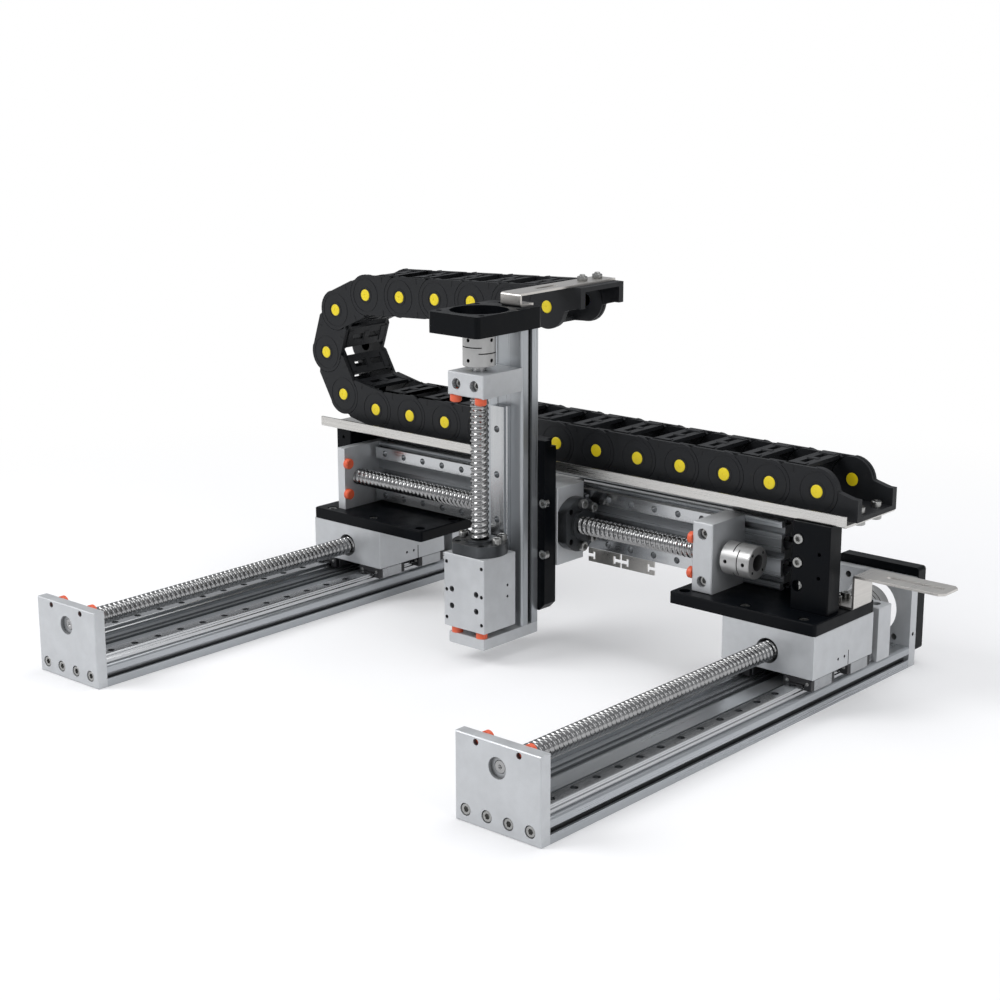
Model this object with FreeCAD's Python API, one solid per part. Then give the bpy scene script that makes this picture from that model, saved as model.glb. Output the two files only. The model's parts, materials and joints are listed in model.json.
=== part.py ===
import FreeCAD, Part
import math
import os

# Three-axis ball-screw gantry robot, in millimetres.
# X runs along the beam, Y along the two floor modules, Z is up.
# All four linear modules are one family: an aluminium profile with rails on its
# deck, an end plate, a bearing block, a ball screw with its nut, and a carriage.
# Each module is drawn lying down, with c across it, a along it and h above its back.

# Family values shared by all modules
plate_t = 10.0             # end plate thickness
bearing_block_t = 20.0     # bearing block length along the screw
edge_chamfer = 0.8
screw_d = 16.0             # ball screw outside diameter
journal_d = 10.0           # journal in the end plate and in the coupling
bearing_journal_d = 12.0   # journal in the bearing block
running_gap = 0.05         # radial gap of journals and of the nut on its screw
seat_gap = 0.1             # radial gap of a part seated in a bore
journal_recess = 3.0       # how deep the journal end lies inside the end plate
thread_relief = 0.5        # gap between screw shoulder and plate or block
shaft_in_coupling = 14.0
coupling_d = 28.0
coupling_len = 28.5
motor_shaft_d = 14.0       # bore of the coupling's open hub
coupling_gap = 4.5         # from bearing block to coupling
nut_body_d = 28.0
nut_body_len = 32.0
nut_flange_d = 48.0
nut_flange_t = 10.0
nut_flats = 40.0           # across the two flats of the flange
nut_bolt_circle_d = 38.0
nut_hole_d = 5.5
nut_collar_d = 25.0
nut_collar_len = 2.0
block_head_down = 4.0      # screw heads below the top of a bearing block
rail_end_gap = 2.0         # from rail end to bearing block
carriage_bore_d = 21.0     # clears the screw in front of the nut
cap_head_d = 8.5           # socket cap screw, size five
cap_head_len = 5.0
cap_shank_d = 5.0
counterbore_d = 9.5
counterbore_deep = 5.5
clearance_hole_d = 5.5
bumper_d = 10.0
bumper_bevel = 1.0
bumper_stem_d = 4.4
bumper_hole_d = 4.8
bumper_stem_back = 3.0     # stem end below the outer face
block_stem = 6.0           # stem length in a bearing block
slot_w = 5.2               # T-slot mouth
slot_wide = 9.5            # T-slot inside width
slot_lip = 2.0
slot_deep = 5.0
cell_across = 13.5         # octagonal cavity across flats
cell_pitch = 21.5
deck_slot_w = 6.0          # slots for the rail nuts
deck_slot_deep = 2.2
rail_seat_deep = 0.4
trough_deep = 1.6
trough_side = 5.5          # from rail to trough

# Linear guides: rail width, rail height, hole pitch, block width, gap under block
rail_small_w = 12.0
rail_small_h = 8.0
rail_small_pitch = 25.0
rail_large_w = 15.0
rail_large_h = 10.0
rail_large_pitch = 40.0
rail_hole_d = 6.0
rail_hole_deep = 4.5
rail_side_groove = 0.8
rail_first_hole = 12.5
block_gap = 0.3            # guide block to rail
block_end_cap = 4.5
block_cap_inset = 0.4
small_block_w = 27.0
small_block_top = 13.0     # top of block above the deck
small_block_under = 3.0
large_block_w = 32.0
large_block_top = 16.0
large_block_under = 4.0

# Y modules, left and right, standing on the floor
y_spacing = 480.0          # between the two screw axes
y_width = 78.0
y_profile_h = 19.0
y_profile_len = 480.0
y_end_h = 66.0
y_screw_h = 48.0
y_rail_offset = 29.3
y_bumper_offset = 19.5
y_bumper_h = 62.0
y_bumper_t = 5.0
y_bolt_h = 9.6
y_bolt_places = (-29.4, -9.8, 9.8, 29.4)
y_cells = 3
y_carriage_w = 88.0
y_carriage_len = 90.0
y_carriage_bottom = 32.0
y_carriage_top = 68.5
y_rest_gap = 17.0          # from both carriages to the bearing blocks, at rest
y_block_len = 34.7
y_block_margin = 0.3
y_block_from_end = 54.0    # from the bearing block's front to the profile's end
y_block_bolt_offset = 29.3
y_side_holes = (37.0, 46.5)
y_side_hole_h = 9.0        # above the carriage's underside
y_side_groove_at = 52.0
y_side_groove_w = 1.0
y_side_groove_h = 13.0
y_side_groove_deep = 1.5
y_rear_plate_h = 78.5
y_rear_side_hole_h = 29.0
y_coupling_d = 38.5
y_motor_plate_t = 12.0
y_motor_plate_w = 78.0
y_motor_plate_h = 74.0
y_motor_plate_top = 86.2
motor_opening_d = 50.0
motor_bolt_pitch = 47.14
motor_bolt_d = 5.2
motor_corner_r = 3.0

# X module, standing on edge between the Y carriages
x_width = 60.0
x_profile_h = 19.0
x_profile_len = 466.0
x_end_h = 66.0
x_screw_h = 48.0
x_rail_offset = 20.6
x_bumper_offset = 15.0
x_bumper_h = 62.8
x_bumper_t = 5.0
x_cells = 2
x_bolt_places = (-20.0, 0.0, 20.0)
x_start = -264.0           # outer face of the end plate
x_front = 12.6             # front edge of the end plate, behind the Y carriages' front
x_block_from_end = 56.5    # from the bearing block's near face to the beam's end
x_deck_slots = (-21.0, 0.0, 21.0)
x_deck_slot_deep = 5.0
x_block_bolt_offset = 20.5
x_carriage_w = 70.0
x_carriage_len = 60.0
x_carriage_at = 217.0
x_block_len = 45.4
x_rail_start = 3.5         # rails start this far from the profile end

# Z module, upright, screw side to the front
z_axis_x = -17.0
z_width = 40.0
z_profile_h = 21.0
z_profile_len = 263.0
z_end_h = 71.0
z_screw_h = 53.0
z_bumper_offset = 14.0
z_bumper_h = 67.0
z_bumper_t = 6.0
z_cells = 1
z_bolt_places = (-10.0, 10.0)
z_bottom = 14.0
z_block_from_end = 53.5
z_block_bolt_offset = 10.0
z_carriage_w = 46.0
z_carriage_len = 65.5
z_carriage_bottom = 33.0
z_carriage_top = 74.0
z_side_hole_h = 10.5        # above the carriage's back
z_side_hole_apart = 10.0
z_rail_short = 14.5         # rail and bearing block, gap between them
z_rail_start = 0.5
z_block_len = 58.8
z_first_hole = 15.0
z_motor_plate_t = 18.0
z_motor_plate_w = 56.0
z_motor_plate_front = 33.5  # from screw axis to front edge
z_motor_plate_back = 49.0
z_motor_head_at = 12.0      # seat of the screw heads above the plate's underside
mount_t = 15.0
mount_w = 56.0
mount_bottom = 34.5
mount_len = 153.0
mount_chamfer = 6.0
mount_bolt_dx = 25.0
mount_bolt_dz = 23.0
mount_head_deep = 5.5
mount_hole_first = 25.5    # spare holes up the middle, from the plate's foot
mount_hole_pitch = 35.0
mount_hole_count = 4
mount_notch = 5.0
mount_notch_h = 6.0
tool_hole_d = 4.2
tool_pitch_x = 28.0
tool_pitch_z = 15.0
tool_holes_low = 6.2       # below the carriage's middle
side_hole_d = 2.5
edge_hole_d = 3.3
edge_hole_pitch_x = 40.0
edge_hole_pitch_z = 25.0

# Base plates, uprights, tray and brackets of the moving bridge
base_t = 10.0
base_w = 142.0
base_depth = 91.0
base_front = 0.2           # ahead of the Y carriage
base_corner_r = 3.0
base_bolt_dx = 28.0
base_bolt_dy = 36.0
base_spare_edge = 9.5
base_spare_back = 9.0      # rear spare hole, behind the carriage's middle
upright_t = 12.0
upright_inset = 8.0        # from the base plate's inner edge to the back plates
upright_end_x = 250.0      # right end of the right back plate
post_front = 32.0          # front of the left post, behind the Y carriages' front
post_inner_x = 265.0
cheek_x0 = 244.0
cheek_x1 = 279.3
cheek_front = 25.0         # behind the Y carriages' front
cheek_t = 17.0
cheek_seat = 4.0           # depth of the screw seats
cheek_bolt_deep = 12.0     # depth of the threads in the web
cheek_bolt_pitch = 19.6
cheek_bolt_z = 39.6        # middle bolt above the base plate
cheek_spare_in = 9.5       # spare holes from the cheek's right edge
upright_spare_d = 3.3
beam_bolt_in = 10.0        # first beam bolt from the back plate's inner edge
beam_bolt_apart = 45.0
beam_head_deep = 4.5
web_lap = 2.0              # how far the web runs into the back plate
post_hole_high = 8.0       # spare holes of the left post, from its ends
post_hole_low = 12.0
tray_left = -302.0
tray_right = 290.0
tray_front_in = 29.0       # tray's front, behind the Y carriages' front
tray_depth = 76.0
tray_z = 152.0
tray_t = 2.0
tray_lip = 9.4
tray_nut_h = 4.0
arm_sheet = 2.0
flag_len = 35.5
flag_h = 14.5
flag_t = 1.5
flag_drop = 11.4
flag_start = 10.0
flag_step = 37.5
slot_bracket_wall_x = 286.5
slot_bracket_in = 53.0     # behind the Y carriages' front
slot_bracket_w = 28.0
slot_bracket_h = 29.0
slot_bracket_foot = 30.0
slot_bracket_reach = 78.5
slot_bracket_slot = 46.0
slot_bracket_slot_w = 5.0
slot_bracket_r = 3.0
slot_bracket_bolt_dy = 7.0
slot_bracket_bolt_in = 10.0
slot_bracket_tip = 9.0     # from slot to tip

# Drag chain
pitch = 45.0
link_h = 39.0
chain_w = 60.0
chain_front_in = 43.5      # behind the Y carriages' front
chain_lift = 0.3           # links lie this far above the tray
lug_t = 3.0
lug_gap = 0.3
hub_gap = 0.4
bar_t = 3.5
bar_len = 20.0
window_w = 6.0             # openings in the bars, for lifting them off
window_len = 14.0
web_inset = 0.6            # cheeks are this much lower than the outer hubs
inner_hub_step = 0.4
tip_flat = 10.4            # cheek tips are cut back so that links can turn
tip_len = 13.0
tip_chamfer = 1.8
pin_d = 11.0
pin_gap = 0.1
pin_face = 0.6             # yellow cap stands proud of the link
fixed_pivot_x = 253.7
lower_links = 11
loop_turns = (12.0, 60.0, 108.0, 156.0)
upper_links = 5
bracket_reach = 38.3
bracket_end_h = 18.5
bracket_floor = 4.0
bracket_tongue_x = 9.0     # the floor starts this far from the pivot, between the lugs
bracket_hole_d = 5.5
fixed_bolt_x = 30.0        # from the end pivot
fixed_bolt_y = (17.5, 42.5)
moving_bolt_x = 18.1
moving_bolt_y = (27.0, 48.0)
arm_w = 22.0
arm_front_out = 26.0       # ahead of the Y carriages' front
arm_slot_in = 33.0
arm_slot_len = 26.0
arm_slot_w = 5.0
arm_foot = 17.0
arm_rise = 9.25            # from the Z motor plate up to the strip over the chain
arm_bend_r = 2.5
arm_nut_d = 8.0
arm_nut_h = 4.0

# Places worked out from the values above
y_back = y_profile_len + plate_t
y_bearing_at = y_back - y_block_from_end
y_carriage_at = y_bearing_at - y_rest_gap - y_carriage_len
x_bearing_at = plate_t + x_profile_len - x_block_from_end
z_bearing_at = plate_t + z_profile_len - z_block_from_end
z_rail_len = z_bearing_at - plate_t - z_rail_short
x_front_y = y_carriage_at + x_front
post_front_y = y_carriage_at + post_front
cheek_front_y = y_carriage_at + cheek_front
tray_front = y_carriage_at + tray_front_in
tray_back = tray_front + tray_depth
slot_bracket_y = y_carriage_at + slot_bracket_in
chain_front = y_carriage_at + chain_front_in
arm_front_y = y_carriage_at - arm_front_out
y_total = y_back + plate_t + y_motor_plate_t
base_z = y_carriage_top + base_t
x_axis_z = base_z + x_width / 2
x_back_y = x_front_y + x_end_h
x_carriage_bottom = y_carriage_bottom
x_carriage_top = y_carriage_top
mount_back_y = x_back_y - x_carriage_top
z_back_y = mount_back_y - mount_t
z_top = z_bottom + plate_t + z_profile_len
link_r = link_h / 2
chain_pivot_z = tray_z + tray_t + chain_lift + link_r
right_x = y_spacing / 2

V = FreeCAD.Vector
UP = V(0, 0, 1)
ALONG = V(0, 1, 0)
ACROSS = V(1, 0, 0)


def box(x0, x1, y0, y1, z0, z1):
    return Part.makeBox(x1 - x0, y1 - y0, z1 - z0, V(x0, y0, z0))


def rod(d, base, direction, length):
    return Part.makeCylinder(d / 2, length, base, direction)


def union(shapes):
    first = shapes[0]
    if len(shapes) == 1:
        return first
    return first.fuse(shapes[1:]).removeSplitter()


def cut(shape, tools):
    return shape.cut(tools)


def prism(points, direction):
    wire = Part.makePolygon([V(*p) for p in points] + [V(*points[0])])
    return Part.Face(wire).extrude(direction)


def edges_along(shape, axis, test):
    found = []
    for edge in shape.Edges:
        if not isinstance(edge.Curve, Part.Line):
            continue
        if abs(abs(edge.tangentAt(edge.FirstParameter).dot(axis)) - 1) > 1e-6:
            continue
        if test(edge.CenterOfMass):
            found.append(edge)
    return found


def cap_screw(base, direction, shank):
    """Cap screw whose head seats at base and stands up along direction."""
    head = rod(cap_head_d, base, direction, cap_head_len)
    body = rod(cap_shank_d, base - direction * shank, direction, shank)
    return union([head, body])


def hexagon(across, height):
    corner = across / math.sqrt(3)
    points = []
    for i in range(6):
        angle = math.radians(60 * i)
        points.append((corner * math.cos(angle), corner * math.sin(angle), 0))
    return prism(points, V(0, 0, height))


# Module parts, each drawn in its module's own frame

def t_slot(c, h, side, start, length):
    """T-slot tool whose mouth opens at (c, h); side is the way it goes in."""
    dc, dh = side
    tools = []
    for deep0, deep1, wide in ((-1, slot_lip, slot_w), (slot_lip, slot_deep, slot_wide)):
        c0, c1 = sorted((c + dc * deep0, c + dc * deep1)) if dc else (c - wide / 2, c + wide / 2)
        h0, h1 = sorted((h + dh * deep0, h + dh * deep1)) if dh else (h - wide / 2, h + wide / 2)
        tools.append(box(c0, c1, start, start + length, h0, h1))
    return tools


def octagon_cell(c, h, start, length):
    radius = cell_across / 2 / math.cos(math.pi / 8)
    points = []
    for i in range(8):
        angle = math.pi / 8 + i * math.pi / 4
        points.append((c + radius * math.cos(angle), start, h + radius * math.sin(angle)))
    return prism(points, V(0, length, 0))


def profile(width, height, length, cells, rails, rail_w, start, slots, slot_depth):
    """Extruded bed with edge slots, cells open to the back and a slotted deck."""
    body = box(-width / 2, width / 2, start, start + length, 0, height)
    round_r = 2.5
    top_edges = edges_along(body, ALONG, lambda p: p.z > height - 1)
    body = body.makeFillet(round_r, top_edges)
    tools = []
    middle = height / 2
    tools += t_slot(-width / 2, middle, (1, 0), start, length)
    tools += t_slot(width / 2, middle, (-1, 0), start, length)
    for i in range(cells):
        c = (i - (cells - 1) / 2) * cell_pitch
        tools.append(octagon_cell(c, middle, start, length))
        tools.append(box(c - slot_w / 2, c + slot_w / 2, start, start + length, -1, middle))
    for c in rails:
        half = rail_w / 2 + seat_gap
        tools.append(box(c - half, c + half, start, start + length, height - rail_seat_deep, height + 1))
    for c in slots:
        half = deck_slot_w / 2
        tools.append(box(c - half, c + half, start, start + length, height - slot_depth, height + 1))
    if cells > 2:
        trough = rails[1] - rail_w / 2 - trough_side
        tools.append(box(-trough, trough, start, start + length, height - trough_deep, height + 1))
    return cut(body, tools)


def rail(c, width, height, deck, start, length, pitch_along, first_hole):
    """Guide rail with side grooves and a row of counterbored holes."""
    low = deck - rail_seat_deep
    top = deck + height
    half = width / 2
    groove_h = low + (top - low) * 0.62
    g = rail_side_groove
    points = []
    for side in (1, -1):
        run = [(half, low), (half, groove_h - 1.5), (half - g, groove_h - 0.7)]
        run += [(half - g, groove_h + 0.7), (half, groove_h + 1.5), (half, top - 0.5)]
        run += [(half - 0.5, top)]
        if side < 0:
            run = [(-p, q) for p, q in reversed(run)]
        points += run
    body = prism([(c + p, start, q) for p, q in points], V(0, length, 0))
    count = int((length - first_hole) // pitch_along) + 1
    tools = []
    for i in range(count):
        a = start + first_hole + i * pitch_along
        if a < start + length - rail_hole_d:
            tools.append(rod(rail_hole_d, V(c, a, top - rail_hole_deep), UP, rail_hole_deep + 1))
    return cut(body, tools)


def guide_block(c, start, length, deck, rail_w, rail_h, width, top, under):
    """Runner block that straddles its rail, with thinner end caps."""
    cap = block_end_cap
    body = box(c - width / 2, c + width / 2, start + cap, start + length - cap, deck + under, deck + top)
    inset = block_cap_inset
    whole = box(c - width / 2 + inset, c + width / 2 - inset, start, start + length,
                deck + under + inset, deck + top - inset)
    channel_half = rail_w / 2 + block_gap
    channel = box(c - channel_half, c + channel_half, start - 1, start + length + 1,
                  deck - 1, deck + rail_h + block_gap)
    return cut(union([body, whole]), [channel])


def screw(end_recess, thread_end, block_len, start):
    """Ball screw with a journal at each end and a shaft for the coupling."""
    a0 = start + end_recess
    a1 = start + plate_t + thread_relief
    a2 = thread_end - thread_relief
    a3 = thread_end + block_len + coupling_gap
    a4 = a3 + shaft_in_coupling
    rj = journal_d / 2
    rs = screw_d / 2
    rb = bearing_journal_d / 2
    points = [(0, a0), (rj - 0.5, a0), (rj, a0 + 0.5), (rj, a1), (rs, a1), (rs, a2), (rb, a2)]
    points += [(rb, a3 - 0.2), (rj, a3 - 0.2), (rj, a4 - 0.5), (rj - 0.5, a4), (0, a4)]
    outline = Part.makePolygon([V(r, a, 0) for r, a in points] + [V(0, a0, 0)])
    return Part.Face(outline).revolve(V(0, 0, 0), ALONG, 360)


def end_plate(width, end_h, screw_h, bolts, bolt_h, bumper_c, bumper_h, start):
    """Plate over the profile's end, with a stepped screw bore and bumper holes."""
    body = box(-width / 2, width / 2, start, start + plate_t, 0, end_h)
    outer = [e for e in body.Edges if abs(e.CenterOfMass.y - start) < 1e-6]
    body = body.makeChamfer(edge_chamfer, outer)
    tools = [rod(screw_d, V(0, start - 1, screw_h), ALONG, 1 + journal_recess)]
    tools.append(rod(journal_d + 2 * running_gap, V(0, start, screw_h), ALONG, plate_t + 1))
    for c in bolts:
        tools.append(rod(clearance_hole_d, V(c, start - 1, bolt_h), ALONG, plate_t + 2))
        tools.append(rod(counterbore_d, V(c, start - 1, bolt_h), ALONG, 1 + counterbore_deep))
    for c in (-bumper_c, bumper_c):
        tools.append(rod(bumper_hole_d, V(c, start - 1, bumper_h), ALONG, plate_t + 2))
    return cut(body, tools)


def bearing_block(width, deck, end_h, screw_h, bolt_c, bumper_c, bumper_h, start):
    """Block on the deck that holds the screw's driven end."""
    body = box(-width / 2, width / 2, start, start + bearing_block_t, deck, end_h)
    top = [e for e in body.Edges if abs(e.CenterOfMass.z - end_h) < 1e-6]
    body = body.makeChamfer(edge_chamfer, top)
    bore = bearing_journal_d + 2 * running_gap
    tools = [rod(bore, V(0, start - 1, screw_h), ALONG, bearing_block_t + 2)]
    middle = start + bearing_block_t / 2
    head_deep = block_head_down + cap_head_len
    for c in (-bolt_c, bolt_c):
        tools.append(rod(clearance_hole_d, V(c, middle, deck - 1), UP, end_h - deck + 2))
        tools.append(rod(counterbore_d, V(c, middle, end_h - head_deep), UP, head_deep + 1))
    for c in (-bumper_c, bumper_c):
        tools.append(rod(bumper_hole_d, V(c, start - 1, bumper_h), ALONG, 1 + block_stem + 0.5))
    return cut(body, tools)


def bumper(c, h, face, direction, thickness, stem):
    """Rubber stop on a face, its stem pressed back into the plate."""
    base = V(c, face, h)
    disc = rod(bumper_d, base, direction, thickness)
    disc = disc.makeChamfer(bumper_bevel, [e for e in disc.Edges if far_circle(e, base, direction, thickness)])
    stem_rod = rod(bumper_stem_d, base - direction * stem, direction, stem + 1)
    return union([disc, stem_rod])


def bumpers(offset, height, thickness, block_at):
    """Two stops on the end plate and two on the bearing block."""
    stops = []
    for c in (-offset, offset):
        stops.append(bumper(c, height, plate_t, ALONG, thickness, plate_t - bumper_stem_back))
        stops.append(bumper(c, height, block_at, V(0, -1, 0), thickness, block_stem))
    return stops


def far_circle(edge, base, direction, distance):
    if not isinstance(edge.Curve, Part.Circle):
        return False
    return (edge.Curve.Center - base).dot(direction) > distance - 1e-6


def coupling(diameter, screw_h, start):
    """One-piece slit coupling: two hubs, a middle disc and offset slits."""
    r = diameter / 2
    body = rod(diameter, V(0, start, screw_h), ALONG, coupling_len)
    body = body.makeChamfer(0.6, [e for e in body.Edges if isinstance(e.Curve, Part.Circle)])
    hub = coupling_len / 2 - 3
    tools = [rod(journal_d, V(0, start - 1, screw_h), ALONG, coupling_len + 2)]
    tools.append(rod(motor_shaft_d, V(0, start + coupling_len - hub, screw_h), ALONG, hub + 1))
    relief = motor_shaft_d + 0.6
    tools.append(rod(relief, V(0, start + hub, screw_h), ALONG, coupling_len - 2 * hub))
    slit = 0.9
    core = relief / 2 + 1.5
    for a, turn in ((start + hub, 0), (start + coupling_len - hub - slit, 90)):
        for side in (-1, 1):
            tool = box(core * side, (r + 1) * side, a, a + slit, -r - 1, r + 1) if side > 0 else \
                box(-r - 1, -core, a, a + slit, -r - 1, r + 1)
            tool.rotate(V(0, 0, 0), ALONG, turn)
            tool.translate(V(0, 0, screw_h))
            tools.append(tool)
    for a in (start + hub / 2, start + coupling_len - hub / 2):
        tools.append(rod(3.3, V(0, a, screw_h + journal_d / 2 + 1), UP, r))
        tools.append(rod(3.3, V(journal_d / 2 + 1, a, screw_h), ACROSS, r))
    face = start + coupling_len
    ring = (r + motor_shaft_d / 2) / 2
    for i in range(4):
        angle = math.radians(45 + 90 * i)
        place = V(ring * math.cos(angle), face - 4, screw_h + ring * math.sin(angle))
        tools.append(rod(2.6, place, ALONG, 6))
    return cut(body, tools)


def nut(screw_h, face):
    """Flanged ball nut: the flange lies on face, the body goes back into the carriage."""
    body = rod(nut_body_d, V(0, face - nut_body_len, screw_h), ALONG, nut_body_len)
    flange = rod(nut_flange_d, V(0, face, screw_h), ALONG, nut_flange_t)
    flats = box(-nut_flange_d, nut_flange_d, face - 1, face + nut_flange_t + 1,
                screw_h - nut_flats / 2, screw_h + nut_flats / 2)
    flange = flange.common(flats)
    collar = rod(nut_collar_d, V(0, face + nut_flange_t, screw_h), ALONG, nut_collar_len)
    whole = nut_body_len + nut_flange_t + nut_collar_len
    tools = [rod(screw_d + 2 * running_gap, V(0, face - nut_body_len - 1, screw_h), ALONG, whole + 2)]
    for angle in nut_angles():
        c = nut_bolt_circle_d / 2 * math.cos(angle)
        h = screw_h + nut_bolt_circle_d / 2 * math.sin(angle)
        tools.append(rod(nut_hole_d, V(c, face - 1, h), ALONG, nut_flange_t + 2))
    return cut(union([body, flange, collar]), tools)


def nut_angles():
    return [math.radians(a) for a in (0, 45, 135, 180, 225, 315)]


def carriage(width, start, length, bottom, top, screw_h):
    """Solid carriage with a stepped bore for the nut body."""
    body = box(-width / 2, width / 2, start, start + length, bottom, top)
    body = body.makeChamfer(edge_chamfer / 2, body.Edges)
    tools = [rod(carriage_bore_d, V(0, start - 1, screw_h), ALONG, length + 2)]
    nut_seat = nut_body_len + 1
    tools.append(rod(nut_body_d + 2 * seat_gap, V(0, start + length - nut_seat, screw_h), ALONG, nut_seat + 1))
    for angle in nut_angles():
        c = nut_bolt_circle_d / 2 * math.cos(angle)
        h = screw_h + nut_bolt_circle_d / 2 * math.sin(angle)
        tools.append(rod(tool_hole_d, V(c, start + length - 8, h), ALONG, 9))
    return cut(body, tools)


# Placing a module's own frame in the robot's frame

def on_y(shape, x):
    moved = shape.copy()
    moved.translate(V(x, 0, 0))
    return moved


def on_x(shape):
    turn = FreeCAD.Matrix(0, 1, 0, x_start, 0, 0, -1, x_back_y, -1, 0, 0, x_axis_z, 0, 0, 0, 1)
    return placed(shape, turn)


def on_z(shape):
    turn = FreeCAD.Matrix(1, 0, 0, z_axis_x, 0, 0, -1, z_back_y, 0, 1, 0, z_bottom, 0, 0, 0, 1)
    return placed(shape, turn)


def placed(shape, matrix):
    moved = shape.copy()
    moved.Placement = FreeCAD.Placement(matrix).multiply(moved.Placement)
    return moved


# The three kinds of module

def y_module():
    parts = {}
    rails = (-y_rail_offset, y_rail_offset)
    rail_len = y_bearing_at - plate_t - rail_end_gap
    parts["profile"] = profile(y_width, y_profile_h, y_profile_len, y_cells, rails, rail_small_w, plate_t,
                               (-cell_pitch / 2, cell_pitch / 2), trough_deep + deck_slot_deep)
    parts["rails"] = [rail(c, rail_small_w, rail_small_h, y_profile_h, plate_t, rail_len,
                           rail_small_pitch, rail_first_hole) for c in rails]
    bolts = y_bolt_places
    parts["end_plate"] = end_plate(y_width, y_end_h, y_screw_h, bolts, y_bolt_h,
                                   y_bumper_offset, y_bumper_h, 0)
    parts["cap_screws"] = plate_screws(bolts, y_bolt_h) + block_screws(
        y_profile_h, y_end_h, y_block_bolt_offset, y_bearing_at)
    parts["nut_screws"] = nut_screws(y_screw_h, y_carriage_at + y_carriage_len)
    parts["bearing_block"] = bearing_block(y_width, y_profile_h, y_end_h, y_screw_h, y_block_bolt_offset,
                                           y_bumper_offset, y_bumper_h, y_bearing_at)
    parts["screw"] = lift(screw(journal_recess, y_bearing_at, bearing_block_t, 0), y_screw_h)
    parts["coupling"] = coupling(y_coupling_d, y_screw_h, y_bearing_at + bearing_block_t + coupling_gap)
    parts["rear_plate"] = y_rear_plate()
    parts["motor_plate"] = y_motor_plate()
    parts["nut"] = nut(y_screw_h, y_carriage_at + y_carriage_len)
    parts["carriage"] = y_carriage()
    blocks = []
    for c in rails:
        for a in (y_carriage_at + y_block_margin, y_carriage_at + y_carriage_len - y_block_margin - y_block_len):
            blocks.append(guide_block(c, a, y_block_len, y_profile_h, rail_small_w, rail_small_h,
                                      small_block_w, small_block_top, small_block_under))
    parts["guide_blocks"] = blocks
    parts["bumpers"] = bumpers(y_bumper_offset, y_bumper_h, y_bumper_t, y_bearing_at)
    return parts


def plate_screws(bolts, bolt_h):
    seat = counterbore_deep
    return [cap_screw(V(c, seat, bolt_h), V(0, -1, 0), plate_t - seat) for c in bolts]


def block_screws(deck, end_h, bolt_c, start):
    seat = end_h - block_head_down - cap_head_len
    middle = start + bearing_block_t / 2
    return [cap_screw(V(c, middle, seat), UP, seat - deck) for c in (-bolt_c, bolt_c)]


def nut_screws(screw_h, face):
    """Four of the six flange holes hold a screw; the upper two are spare."""
    screws = []
    for angle in nut_angles():
        if math.sin(angle) > 0.1:
            continue
        c = nut_bolt_circle_d / 2 * math.cos(angle)
        h = screw_h + nut_bolt_circle_d / 2 * math.sin(angle)
        screws.append(cap_screw(V(c, face + nut_flange_t, h), ALONG, nut_flange_t))
    return screws


def lift(shape, height):
    shape.translate(V(0, 0, height))
    return shape


def y_carriage():
    body = carriage(y_carriage_w, y_carriage_at, y_carriage_len, y_carriage_bottom, y_carriage_top, y_screw_h)
    half = y_carriage_w / 2
    tools = []
    for side in (-1, 1):
        face = V(side * (half + 1), 0, 0)
        inward = V(-side, 0, 0)
        for a in y_side_holes:
            place = face + V(0, y_carriage_at + a, y_carriage_bottom + y_side_hole_h)
            tools.append(rod(side_hole_d, place, inward, 7))
        x0, x1 = sorted((side * (half - y_side_groove_deep), side * (half + 1)))
        a = y_carriage_at + y_side_groove_at
        tools.append(box(x0, x1, a, a + y_side_groove_w,
                         y_carriage_bottom - 1, y_carriage_bottom + y_side_groove_h))
    for c in (-base_bolt_dx, base_bolt_dx):
        for a in (-base_bolt_dy, base_bolt_dy):
            place = V(c, y_carriage_at + y_carriage_len / 2 + a, y_carriage_top - 10)
            tools.append(rod(tool_hole_d, place, UP, 12))
    return cut(body, tools)


def y_rear_plate():
    body = box(-y_width / 2, y_width / 2, y_back, y_back + plate_t, 0, y_rear_plate_h)
    corners = edges_along(body, ALONG, lambda p: p.z > 1)
    body = body.makeFillet(2.0, corners)
    tools = [rod(motor_opening_d, V(0, y_back - 1, y_screw_h), ALONG, plate_t + 2)]
    for c in y_bolt_places:
        tools.append(rod(clearance_hole_d, V(c, y_back - 1, y_bolt_h), ALONG, plate_t + 2))
    for side in (-1, 1):
        for h in (-motor_bolt_pitch / 2, motor_bolt_pitch / 2):
            place = V(side * motor_bolt_pitch / 2, y_back - 1, y_screw_h + h)
            tools.append(rod(clearance_hole_d, place, ALONG, plate_t + 2))
        edge = V(side * (y_width / 2 + 1), y_back + plate_t / 2, y_rear_side_hole_h)
        tools.append(rod(edge_hole_d, edge, V(-side, 0, 0), 7))
    return cut(body, tools)


def y_motor_plate():
    start = y_back + plate_t
    half = y_motor_plate_w / 2
    low = y_motor_plate_top - y_motor_plate_h
    body = box(-half, half, start, start + y_motor_plate_t, low, low + y_motor_plate_h)
    body = body.makeFillet(motor_corner_r, edges_along(body, ALONG, lambda p: True))
    tools = [rod(motor_opening_d, V(0, start - 1, y_screw_h), ALONG, y_motor_plate_t + 2)]
    for c in (-motor_bolt_pitch / 2, motor_bolt_pitch / 2):
        for h in (-motor_bolt_pitch / 2, motor_bolt_pitch / 2):
            tools.append(rod(motor_bolt_d, V(c, start - 1, y_screw_h + h), ALONG, y_motor_plate_t + 2))
    return cut(body, tools)


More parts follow.
